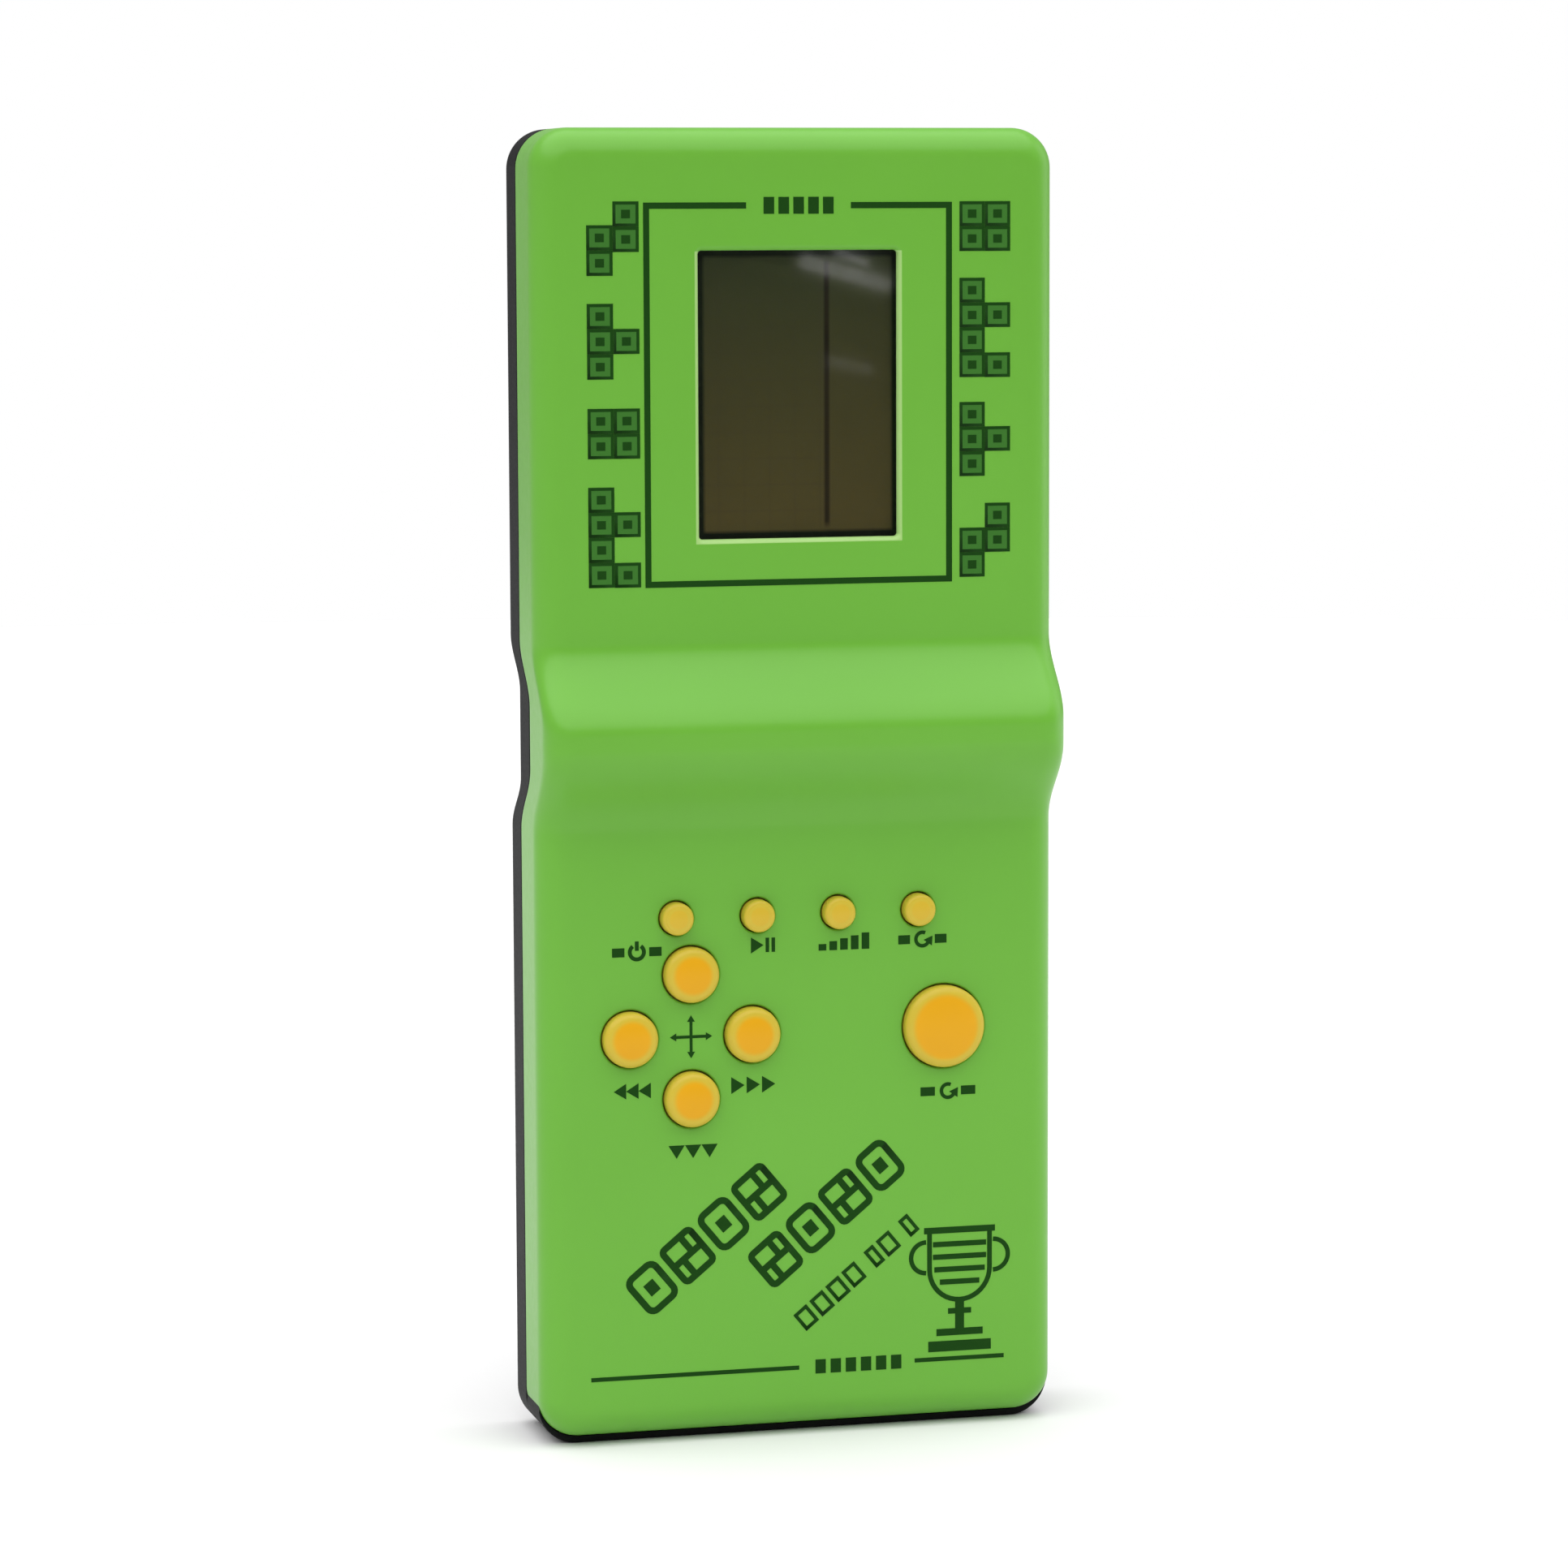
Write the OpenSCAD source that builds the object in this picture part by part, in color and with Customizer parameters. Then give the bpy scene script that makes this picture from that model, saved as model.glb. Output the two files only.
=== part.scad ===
// Handheld LCD block game: a two-part plastic case with a finger grip across its middle,
// an LCD behind a window, nine sprung rubber-dome keys, and two AA cells behind a hinged door.
// Frame: it stands upright, X to the player's right, Y into the case, Z up.
// The origin is the middle of the base of its bounding box.

/* [Case] */
// Width of the case
case_w = 74; // [72:1:90]
// Height of the case
case_h = 182; // [178:1:220]
// Depth of the front shell along its sides
front_d = 12; // [11:0.5:14]
// Wall thickness of both shells
wall = 2.0; // [1.8:0.1:2.4]
// Corner radius of the case, seen from the front
corner_r = 5.5; // [5:0.5:8]
// Rounding of the front edge
front_round = 4.0; // [1.5:0.1:4.5]
// Rounding of the rear edge
rear_round = 2.2; // [1.5:0.1:4]
// Thickness of the rear shell's sole, which runs forward under the front shell
sole_t = 1.2; // [0.8:0.1:2]
// Height of the lip that locates the rear shell in the front shell
lip_h = 1.5; // [1:0.1:2.5]
// Play between the two shells at the lip
lip_play = 0.1; // [0.05:0.05:0.2]

/* [Finger grip] */
// Height of the middle of the grip above the row of small keys
grip_rise = 25.0; // [24:0.5:30]
// Forward bulge of the front face
grip_bulge = 7.0; // [5:0.5:9]
// Depth of the finger groove across the back
grip_groove = 6.0; // [4:0.5:7]
// Half the level crest of the bulge
crest_half = 1.0; // [0.5:0.5:3]
// Length of each slope of the bulge
crest_slope = 12; // [10:0.5:14]
// Half the level floor of the groove
groove_half = 6.5; // [4:0.5:8]
// Length of each slope of the groove
groove_slope = 7; // [6:0.5:9]

/* [Display] */
// Width of the window opening
window_w = 28.2; // [24:0.2:34]
// Height of the window opening
window_h = 39.4; // [32:0.2:48]
// Middle of the window below the top of the case
window_drop = 36.4; // [34:0.2:48]
// Thickness of the rim in front of the lens
window_rim = 1.0; // [0.8:0.1:1.2]
// Ledge of the lens behind the rim, all round
lens_ledge = 1.9; // [1.5:0.1:3]
// Thickness of the clear lens
lens_t = 1.2; // [1:0.1:1.5]
// Border of the display glass round the window
glass_border = 3.0; // [2.6:0.1:4]
// Thickness of each sheet of display glass
glass_t = 0.8; // [0.5:0.1:1.1]
// Thickness of each polariser
film_t = 0.2; // [0.1:0.05:0.3]
// Ledge of the rear glass below the front glass
glass_ledge = 3.3; // [3:0.1:5]
// Air gap between the lens and the display
display_gap = 0.4; // [0.2:0.1:0.8]
// Wall of the display holder
holder_t = 1.2; // [1:0.1:1.6]
// Play round the display glass in its holder
glass_play = 0.15; // [0.1:0.05:0.3]
// Width of the flat connector
ribbon_w = 26; // [18:1:28]
// Thickness of the flat connector
ribbon_t = 0.15; // [0.1:0.05:0.2]

/* [Keys] */
// Direction pad centre, to the right of the middle
pad_x = -15.8; // [-18:0.1:-12]
// Direction pad centre above the battery bay
pad_rise = 20.5; // [20.5:0.5:24]
// Distance from the pad centre to each direction key
pad_reach = 8.7; // [8.2:0.1:9]
// Radius of a direction key
direction_r = 3.85; // [3:0.05:4.2]
// Rotate key centre, to the right of the middle
rotate_x = 20.5; // [18:0.1:22]
// Radius of the rotate key
rotate_r = 5.75; // [4:0.05:6.5]
// Middle of the row of small keys, to the right of the middle
row_x = -0.5; // [-1:0.1:1]
// Row of small keys above the direction pad centre
row_rise = 16.6; // [16.4:0.1:19]
// Pitch of the small keys
row_pitch = 11.55; // [10:0.05:13]
// Radius of a small key
small_r = 2.25; // [1.8:0.05:2.7]
// Height that the keys stand proud of the face
key_proud = 1.9; // [1.4:0.1:2.4]
// Play round each key in its hole
key_play = 0.2; // [0.15:0.05:0.3]
// Travel of each key
key_travel = 0.8; // [0.5:0.1:1]
// Width of the flange round the foot of each key
key_flange = 0.6; // [0.5:0.05:0.7]
// Thickness of that flange
flange_t = 1.0; // [0.8:0.1:1.2]
// Height of the rubber domes
dome_h = 3.2; // [3:0.1:3.6]
// Thickness of the rubber mat under the domes
mat_t = 0.8; // [0.6:0.1:1]

/* [Board] */
// Half the width of the circuit board
board_half = 32; // [31:0.5:33]
// Gap between the battery bay and the lower edge of the board
board_gap = 6.5; // [6:0.1:6.8]
// Upper edge of the board above the row of small keys
board_over = 13.2; // [12:0.2:16]
// Thickness of the board
board_t = 1.6; // [1:0.2:2]

/* [Batteries] */
// Diameter of an AA cell
cell_d = 14.5; // [13.5:0.1:17.5]
// Length of an AA cell with its nub
cell_l = 50.5; // [48:0.1:51]
// Play round the cells
cell_play = 0.15; // [0.1:0.05:0.3]
// Compressed length of a contact spring
spring_l = 7.0; // [5:0.1:8]
// Lower inner face of the battery bay above the base
bay_z = 6.4; // [6:0.1:8]
// Wall of the battery bay
bay_wall = 1.2; // [1:0.1:1.4]
// Thickness of the bay floor
bay_floor = 1.1; // [1:0.1:1.4]
// Gap between the bay floor and the front wall
floor_gap = 0.6; // [0.5:0.1:1]
// Thickness of the battery door
door_t = 1.5; // [1.2:0.1:1.8]
// Play round the battery door
door_play = 0.2; // [0.15:0.05:0.3]
// Ledge that the door rests on
door_ledge = 1.05; // [0.8:0.05:1.1]
// Radius of the door's hinge bead
bead_r = 1.2; // [1:0.05:1.3]
// Radius of the hinge pins
pin_r = 0.6; // [0.5:0.05:0.7]
// Length of each hinge pin
pin_l = 1.4; // [1:0.1:1.8]
// Running clearance round the hinge pins
pin_play = 0.05; // [0.03:0.01:0.08]
// Thickness of the contact plates
plate_t = 0.4; // [0.3:0.05:0.5]

/* [Fasteners] */
// Shank radius of the case screws
case_screw_r = 1.25; // [1:0.05:1.4]
// Head radius of the case screws
case_head_r = 2.4; // [2:0.1:2.6]
// Shank radius of the board screws
board_screw_r = 1.0; // [0.8:0.05:1.1]
// Shank radius of the display screws
display_screw_r = 0.8; // [0.6:0.05:0.9]
// Wall of the screw posts round their bores
post_wall = 1.2; // [1:0.1:1.5]
// Clearance of the screws in their bores
screw_play = 0.05; // [0.03:0.01:0.1]

/* [Speaker] */
// Radius of the sounder disc
sounder_r = 10; // [8:0.5:12]
// Sounder centre above the direction pad centre
sounder_rise = 4.8; // [3:0.2:8]
// Radius of each sound hole
sound_hole_r = 0.8; // [0.5:0.05:1]

/* [Hidden] */
// Small steps in the shells' faces: a corner, the grip and an edge rounding.
corner_steps = 5;
grip_steps = 18;
round_steps = 4;
seam_gap = 0.05;

// Depths, front to back. The case is as deep as the cells and what lies either side of them.
case_d = wall + floor_gap + bay_floor + cell_d + 2 * cell_play + door_t;
y_rear = (case_d + grip_bulge) / 2;
y_face = y_rear - case_d;
y_seam = y_face + front_d;
y_front_in = y_face + wall;
y_rear_in = y_rear - wall;

// Heights, from the battery bay upwards: the cells, the keys, the grip. The display hangs from the top.
cell_gap = 0.5;
cell_end_play = 0.4;
cell_z1 = bay_z + cell_end_play + cell_d / 2;
cell_z2 = cell_z1 + cell_d + cell_gap;
bay_z1 = cell_z2 + cell_d / 2 + cell_end_play;
pad_z = bay_z1 + pad_rise;
row_z = pad_z + row_rise;
grip_z = row_z + grip_rise;
board_z0 = bay_z1 + board_gap;
board_z1 = row_z + board_over;
sounder_z = pad_z + sounder_rise;

// Keys, from the front wall's inner face to the back of the board.
y_dome = y_front_in + flange_t;
y_mat = y_dome + dome_h;
y_board = y_mat + mat_t;
y_board_back = y_board + board_t;
contact_t = 0.05;
pill_t = 0.8;
pill_spare = 0.05;
y_pill = y_board - contact_t - pill_spare - key_travel;

// Display, from the lens to the back of the holder.
window_z = case_h - window_drop;
lens_w = window_w + 2 * lens_ledge;
lens_h = window_h + 2 * lens_ledge;
lens_play = 0.1;
y_lens = y_face + window_rim;
y_film = y_lens + lens_t + display_gap;
y_glass = y_film + film_t;
y_rear_glass = y_glass + glass_t;
y_reflector = y_rear_glass + glass_t;
y_holder = y_reflector + film_t;
glass_w = window_w + 2 * glass_border;
glass_z0 = window_z - window_h / 2 - glass_border;
glass_z1 = window_z + window_h / 2 + glass_border;
ledge_z = glass_z0 - glass_ledge;
holder_floor = 1.0;
ear_r = 2.6;
ear_x = glass_w / 2 + glass_play + holder_t + ear_r;
ear_rise = 18;
ribbon_bond = 3.2;

// Keys: name, centre and radius.
function on_pad(angle) = [pad_x + pad_reach * cos(angle), pad_z + pad_reach * sin(angle)];
function in_row(n) = [row_x + (n - 1.5) * row_pitch, row_z];
KEYS = [
    ["power", in_row(0), small_r],
    ["pause", in_row(1), small_r],
    ["sound", in_row(2), small_r],
    ["reset", in_row(3), small_r],
    ["right", on_pad(0), direction_r],
    ["up", on_pad(90), direction_r],
    ["left", on_pad(180), direction_r],
    ["down", on_pad(270), direction_r],
    ["rotate", [rotate_x, pad_z], rotate_r]
];
function dome_foot(r) = r + 0.8;
function dome_top(r) = 0.72 * r;
function pill_r(r) = 0.48 * r;
dome_wall = 0.5;
cone_h = dome_h / 2;

// Battery bay, door and hinge.
y_door = y_rear - door_t;
cell_y = y_door - cell_play - cell_d / 2;
y_bay = cell_y - cell_d / 2 - cell_play;
bay_half = (cell_l + spring_l) / 2 + plate_t;
bay_foot = y_bay - bay_floor;
door_half = bay_half + door_ledge - door_play;
door_hole_z0 = bay_z - door_ledge;
door_hole_z1 = bay_z1 + door_ledge;
hinge_y = y_rear - bead_r;
hinge_z = door_hole_z0 + door_play + bead_r;
door_z1 = door_hole_z1 - door_play;
bead_play = 0.15;
plate_h = 10;
tail_l = 2.9;
tail_w = 3.0;
slot_play = 0.2;
catch_l = 2.5;
catch_t = 1.0;
catch_w = 8;
catch_drop = 1.8;

// Screw posts. Case posts stand beside the display, and beside and above the battery bay.
case_post_r = case_screw_r + screw_play + post_wall + 0.5;
side_x = case_w / 2 - wall - case_post_r - 0.2;
case_posts = [
    for (s = [-1, 1]) for (p = [
        [side_x - 1.3, case_h - wall - case_post_r - 2.5],
        [side_x, grip_z + crest_half + crest_slope + case_post_r + 2.7],
        [side_x, bay_z1 + bay_wall + case_post_r + 2.6]
    ]) [s * p[0], p[1]]
];
head_floor = 2.4;
case_head_t = 1.6;
case_shank = 10;
board_posts = [for (p = [[-29.3, 19.3], [29.3, 19.3], [3.6, -8.7], [29, -6.2]]) [p[0], pad_z + p[1]]];
board_post_r = board_screw_r + screw_play + post_wall;
board_head_t = 1.2;
board_shank = 4.6;
display_posts = [for (x = [-ear_x, ear_x]) for (z = [-ear_rise, ear_rise]) [x, window_z + z]];
display_post_r = display_screw_r + screw_play + post_wall;
display_head_t = 0.9;
display_shank = 3.2;
bore_spare = 0.6;

// Rubber mat.
mat_half = board_half - 1.2;
mat_z0 = board_z0 + 0.3;
mat_z1 = board_z1 - ribbon_bond - 0.8;

// Parts on the back of the board, and the sounder.
sounder_t = 0.25;
ceramic_t = 0.2;
seat_h = 2.9;
seat_w = 1.6;
y_sounder = y_rear_in - seat_h;
wire_r = 0.5;
sounder_wire_r = 0.4;
spring_wire_r = 0.4;
spring_turns = 5;

// Routes of the wires, chosen by hand: side pocket, over the bay, down to the board.
// The first and last stretches run straight out of what the wire is soldered to.
lead = 0.8;
tail_top = plate_t / 2;
tail_x = bay_half + 2.3;
pocket_x = tail_x + 0.3;
pocket_y = cell_y + 2.8;
bay_top = bay_z1 + bay_wall;
function onto_board(x, z) = [for (h = [2.4, lead, 0]) [x, y_board_back + h, z]];
function from_tail(z) = [for (h = [tail_top, lead, 2.4]) [tail_x, cell_y, z + h]];
positive_route = concat(
    from_tail(cell_z1),
    [[pocket_x, pocket_y, cell_z1 + 10], [pocket_x, pocket_y, cell_z2 + 2],
        [pocket_x - 0.2, pocket_y - 0.4, bay_top - 1.6], [tail_x - 1.4, cell_y + 1.6, bay_top + 1.2],
        [tail_x - 5, cell_y + 1, bay_top + 2], [26.6, y_board_back + 3.2, board_z0 + 2]],
    onto_board(26, board_z0 + 4.6)
);
negative_route = concat(
    from_tail(cell_z2),
    [[tail_x, cell_y - 1.4, bay_top - 2.6], [tail_x - 1.4, cell_y - 1.8, bay_top + 1.2],
        [tail_x - 5, cell_y - 1, bay_top + 1.8], [23, y_board_back + 3.2, board_z0 + 2]],
    onto_board(22.4, board_z0 + 4.6)
);
function sounder_route(x, y, dx) = concat(
    [for (h = [0, lead, 1.6]) [x, y - h, sounder_z]],
    [[x + dx / 2, (y + y_board_back) / 2, sounder_z - 1.6]],
    onto_board(x + dx, sounder_z - 3.2)
);
sounder_routes = [
    sounder_route(3, y_sounder - sounder_t - ceramic_t, 4),
    sounder_route(8.4, y_sounder - sounder_t, 3)
];

$fn = 48;

// ---- Shapes shared by several parts ----

// Rises smoothly from 0 to 1 as u goes from 0 to 1.
function ease(u) = u <= 0 ? 0 : u >= 1 ? 1 : (1 - cos(180 * u)) / 2;

// How far forward the case is carried at height z, at depth y: the bulge blends into the groove.
function carried(y, z) =
    let (t = (y - y_face) / case_d)
    let (level = crest_half + (groove_half - crest_half) * t)
    let (slope = crest_slope + (groove_slope - crest_slope) * t)
    let (height = grip_bulge + (grip_groove - grip_bulge) * t)
    height * (1 - ease((abs(z - grip_z) - level) / slope));

// Right-hand half of the case outline, drawn in by inset, its base raised by lift: corner, grip side, corner.
grip_half = max(crest_half + crest_slope, groove_half + groove_slope);
function half_outline(inset, lift) =
    let (hw = case_w / 2, r = corner_r - inset)
    concat(
        [for (i = [0 : corner_steps]) let (a = -90 + 90 * i / corner_steps)
            [hw - corner_r + r * cos(a), lift + corner_r + r * sin(a)]],
        [for (i = [0 : grip_steps]) [hw - inset, grip_z + grip_half * (2 * i / grip_steps - 1)]],
        [for (i = [0 : corner_steps]) let (a = 90 * i / corner_steps)
            [hw - corner_r + r * cos(a), case_h - corner_r + r * sin(a)]]
    );

// One ring of points round the case: up the right side and down the left.
function case_ring(inset, y, lift) =
    let (right = half_outline(inset, lift), n = len(right))
    concat(
        [for (p = right) [p[0], y - carried(y, p[1]), p[1]]],
        [for (i = [n - 1 : -1 : 0]) [-right[i][0], y - carried(y, right[i][1]), right[i][1]]]
    );

function flipped(faces, flip) = [for (f = faces) flip ? [for (i = [len(f) - 1 : -1 : 0]) f[i]] : f];

// A closed skin through rings given as [inset, y, lift], its two ends closed with level strips.
// Rings run front to back, or back to front when back is true.
module case_skin(profile, back = false) {
    n = len(case_ring(0, y_face, 0));
    m = len(profile);
    points = [for (p = profile) each case_ring(p[0], p[1], p[2])];
    start = [for (i = [0 : n / 2 - 2]) [n - 1 - i, n - 2 - i, i + 1, i]];
    end = [for (i = [0 : n / 2 - 2]) [for (j = [i, i + 1, n - 2 - i, n - 1 - i]) (m - 1) * n + j]];
    sides = [
        for (k = [0 : m - 2]) for (i = [0 : n - 1])
        let (a = k * n + i, b = k * n + (i + 1) % n)
        each [[a, b, b + n], [a, b + n, a + n]]
    ];
    polyhedron(points, flipped(concat(start, sides, end), back));
}

// Rings round an edge rounding of radius r that starts at depth y and goes in direction s.
function rounding(r, y, s, lift) = [
    for (i = [0 : round_steps]) let (a = 90 * i / round_steps)
    [r * (1 - sin(a)), y + s * r * (1 - cos(a)), lift]
];

// Puts children at x, z with their own +Z pointing out of the front, from depth y.
module facing(x, y, z) {
    translate([x, y, z]) rotate([90, 0, 0]) children();
}

module at_posts(posts, y) {
    for (p = posts) facing(p[0], y, p[1]) children();
}

// A box between two depths, centred on x.
module slab(w, y0, y1, z0, z1) {
    translate([-w / 2, y0, z0]) cube([w, y1 - y0, z1 - z0]);
}

function unit(v) = v / norm(v);

// A smooth curve through a route's points, with steps points along each stretch.
function smooth(route, steps) =
    let (n = len(route))
    concat(
        [for (i = [0 : n - 2]) for (k = [0 : steps - 1])
            let (p = route[max(i - 1, 0)], q = route[i], r = route[i + 1])
            let (s = route[min(i + 2, n - 1)], t = k / steps)
            q + t * (r - p) / 2 + t * t * (2 * p - 5 * q + 4 * r - s) / 2
                + t * t * t * (3 * q - p - 3 * r + s) / 2],
        [route[n - 1]]
    );

function headings(path) =
    let (n = len(path))
    [for (i = [0 : n - 1]) unit(path[min(i + 1, n - 1)] - path[max(i - 1, 0)])];

// Carries a sideways direction along a path without twisting it.
function sideways(heading, side, i = 0) =
    i == len(heading) ? [] :
    let (s = unit(side - (side * heading[i]) * heading[i]))
    concat([s], sideways(heading, s, i + 1));

// A round wire swept along a path.
module wire(path, r, sides, side) {
    n = len(path);
    h = headings(path);
    s = sideways(h, side);
    points = [
        for (i = [0 : n - 1]) for (j = [0 : sides - 1]) let (a = 360 * j / sides)
        path[i] + r * (cos(a) * s[i] + sin(a) * cross(h[i], s[i]))
    ];
    ends = [[for (j = [0 : sides - 1]) j], [for (j = [sides - 1 : -1 : 0]) (n - 1) * sides + j]];
    skin = [
        for (i = [0 : n - 2]) for (j = [0 : sides - 1])
        let (a = i * sides + j, b = i * sides + (j + 1) % sides)
        each [[a, a + sides, b + sides], [a, b + sides, b]]
    ];
    polyhedron(points, concat(ends, skin));
}

// A pan-head screw with a cross recess: its head starts at depth y and the shank runs forward.
module screw(shank_r, shank_l, head_r, head_t) {
    cylinder(r = shank_r, h = shank_l);
    difference() {
        rotate([180, 0, 0]) cylinder(r1 = head_r, r2 = head_r * 0.85, h = head_t);
        for (a = [0, 90]) rotate([0, 0, a])
            translate([-head_r * 0.6, -head_r * 0.14, -head_t - 1]) cube([head_r * 1.2, head_r * 0.28, 1.5]);
    }
}

// ---- Case ----

module front_shell() {
    lip_in = wall / 2;
    color("yellowgreen") difference() {
        union() {
            case_skin(concat(rounding(front_round, y_face, 1, sole_t), [
                [0, y_seam, sole_t], [lip_in, y_seam, sole_t], [lip_in, y_seam - lip_h - lip_play, sole_t],
                [wall, y_seam - lip_h - lip_play, sole_t], [wall, y_front_in, sole_t]
            ]));
            at_posts(case_posts, y_seam) cylinder(r = case_post_r, h = front_d - wall / 2);
            at_posts(board_posts, y_board) cylinder(r = board_post_r, h = y_board - y_front_in + wall / 2);
            at_posts(display_posts, y_holder)
                cylinder(r = display_post_r, h = y_holder - y_front_in + wall / 2);
        }
        slab(window_w, y_face - 1, y_lens + 1, window_z - window_h / 2, window_z + window_h / 2);
        slab(lens_w + lens_play, y_lens, y_front_in + 1,
            window_z - (lens_h + lens_play) / 2, window_z + (lens_h + lens_play) / 2);
        for (k = KEYS) facing(k[1][0], y_front_in + 1, k[1][1])
            cylinder(r = k[2] + key_play, h = wall + 2);
        at_posts(case_posts, y_seam + 1)
            cylinder(r = case_screw_r + screw_play, h = case_shank - head_floor + bore_spare + 1);
        at_posts(board_posts, y_board + 1)
            cylinder(r = board_screw_r + screw_play, h = board_shank - board_t + bore_spare / 2 + 1);
        at_posts(display_posts, y_holder + 1)
            cylinder(r = display_screw_r + screw_play, h = display_shank - holder_floor + 0.3 + 1);
    }
}

module bay_walls() {
    slab(2 * (bay_half + bay_wall), bay_foot, y_rear_in + wall / 2, bay_z - bay_wall, bay_z1 + bay_wall);
}

module bay_hollow() {
    slab(2 * bay_half, y_bay, y_rear + 1, bay_z, bay_z1);
    slab(2 * (bay_half + door_ledge), y_door, y_rear + 1, door_hole_z0, door_hole_z1);
    translate([-(door_half + door_play), hinge_y, hinge_z]) rotate([0, 90, 0])
        cylinder(r = bead_r + bead_play, h = 2 * (door_half + door_play));
    translate([-(door_half + pin_l + door_play), hinge_y, hinge_z]) rotate([0, 90, 0])
        cylinder(r = pin_r + pin_play, h = 2 * (door_half + pin_l + door_play));
    for (z = [cell_z1, cell_z2])
        translate([bay_half - 1, cell_y - tail_w / 2 - slot_play, z - plate_t / 2 - slot_play])
            cube([bay_wall + 2, tail_w + 2 * slot_play, plate_t + 2 * slot_play]);
}

module rear_shell() {
    lip_in = wall / 2 + lip_play;
    color([0.13, 0.13, 0.14]) difference() {
        union() {
            case_skin(concat(rounding(rear_round, y_rear, -1, 0), [
                [0, y_seam + seam_gap, 0], [lip_in, y_seam + seam_gap, sole_t],
                [lip_in, y_seam - lip_h, sole_t], [wall, y_seam - lip_h, sole_t], [wall, y_rear_in, sole_t]
            ]), back = true);
            slab(case_w - 2 * corner_r, y_face + front_round, y_seam + 1, 0, sole_t - seam_gap);
            bay_walls();
            at_posts(case_posts, y_rear_in + wall / 2)
                cylinder(r = case_post_r, h = y_rear_in + wall / 2 - y_seam - seam_gap);
            difference() {
                facing(0, y_rear_in + wall / 2, sounder_z) cylinder(r = sounder_r + seat_w / 2, h = seat_h + wall / 2);
                facing(0, y_rear_in, sounder_z) cylinder(r = sounder_r - seat_w / 2, h = seat_h + 1);
            }
        }
        bay_hollow();
        at_posts(case_posts, y_rear + 1)
            cylinder(r = case_head_r + 0.3, h = y_rear + 1 - y_seam - seam_gap - head_floor);
        at_posts(case_posts, y_rear)
            cylinder(r = case_screw_r + screw_play, h = y_rear - y_seam + 1);
        for (a = [0 : 60 : 300])
            facing(5 * cos(a), y_rear + 1, sounder_z + 5 * sin(a)) cylinder(r = sound_hole_r, h = wall + 2);
        facing(0, y_rear + 1, sounder_z) cylinder(r = sound_hole_r, h = wall + 2);
        translate([0, y_rear + 5.2, door_hole_z1 + 0.5]) sphere(r = 6);
    }
}

module battery_door() {
    color([0.15, 0.15, 0.16]) difference() {
        union() {
            translate([-door_half, y_door, hinge_z])
                cube([2 * door_half, door_t, door_z1 - hinge_z]);
            translate([-door_half, hinge_y, hinge_z]) rotate([0, 90, 0])
                cylinder(r = bead_r, h = 2 * door_half);
            translate([-door_half - pin_l, hinge_y, hinge_z]) rotate([0, 90, 0])
                cylinder(r = pin_r, h = 2 * (door_half + pin_l));
            slab(catch_w, y_door - catch_l, y_door + door_t / 2,
                bay_z1 - catch_drop, bay_z1 - catch_drop + catch_t);
        }
        for (i = [0 : 3]) slab(14, y_rear - 0.4, y_rear + 1, door_z1 - 4 - 2.2 * i, door_z1 - 3 - 2.2 * i);
    }
}

// ---- Display ----

module window_lens() {
    color([0.85, 0.9, 0.9, 0.4])
        slab(lens_w, y_lens, y_lens + lens_t, window_z - lens_h / 2, window_z + lens_h / 2);
}

module front_polariser() {
    color([0.35, 0.36, 0.3])
        slab(glass_w - 1, y_film, y_glass, glass_z0 + 0.5, glass_z1 - 0.5);
}

module display_front_glass() {
    color([0.6, 0.65, 0.6]) slab(glass_w, y_glass, y_rear_glass, glass_z0, glass_z1);
}

module display_rear_glass() {
    color([0.55, 0.6, 0.56]) slab(glass_w, y_rear_glass, y_reflector, ledge_z, glass_z1);
}

module reflector() {
    color("silver") slab(glass_w - 1, y_reflector, y_holder, glass_z0 + 0.5, glass_z1 - 0.5);
}

module display_holder() {
    inner = glass_w + 2 * glass_play;
    y_back = y_holder + holder_floor;
    color([0.8, 0.8, 0.78]) difference() {
        union() {
            slab(inner + 2 * holder_t, y_front_in, y_back,
                ledge_z - glass_play - holder_t, glass_z1 + glass_play + holder_t);
            for (p = display_posts) hull() {
                facing(p[0], y_back, p[1]) cylinder(r = ear_r, h = holder_floor);
                facing(p[0] * 0.8, y_back, p[1]) cylinder(r = ear_r, h = holder_floor);
            }
        }
        slab(inner, y_front_in - 1, y_holder, ledge_z - glass_play, glass_z1 + glass_play);
        slab(ribbon_w + 1, y_rear_glass - 1, y_rear_glass + 0.3,
            ledge_z - glass_play - holder_t - 1, ledge_z);
        at_posts(display_posts, y_back + 1)
            cylinder(r = display_screw_r + screw_play, h = holder_floor + 2);
    }
}

// A flat film bonded to the glass ledge above and to the board's front face below.
module display_ribbon() {
    z_top = glass_z0 - 0.4;
    z_bend = ledge_z - 3;
    z_board = board_z1 + 2;
    z_foot = board_z1 - ribbon_bond;
    y_foot = y_board - ribbon_t;
    y_head = y_rear_glass - ribbon_t;
    steps = 10;
    path = concat(
        [[y_head, z_top], [y_head, z_bend]],
        [for (i = [1 : steps - 1]) let (t = i / steps)
            [y_head + (y_foot - y_head) * ease(t), z_bend + (z_board - z_bend) * t]],
        [[y_foot, z_board], [y_foot, z_foot]]
    );
    outline = concat(path, [for (i = [len(path) - 1 : -1 : 0]) [path[i][0] + ribbon_t, path[i][1]]]);
    color("orange") translate([ribbon_w / 2, 0, 0]) rotate([90, 0, -90])
        linear_extrude(height = ribbon_w) polygon([for (p = outline) [-p[0], p[1]]]);
}

module display_screws() {
    color("silver") at_posts(display_posts, y_holder + holder_floor)
        screw(display_screw_r, display_shank, display_screw_r + 0.7, display_head_t);
}

// ---- Keys ----

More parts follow.
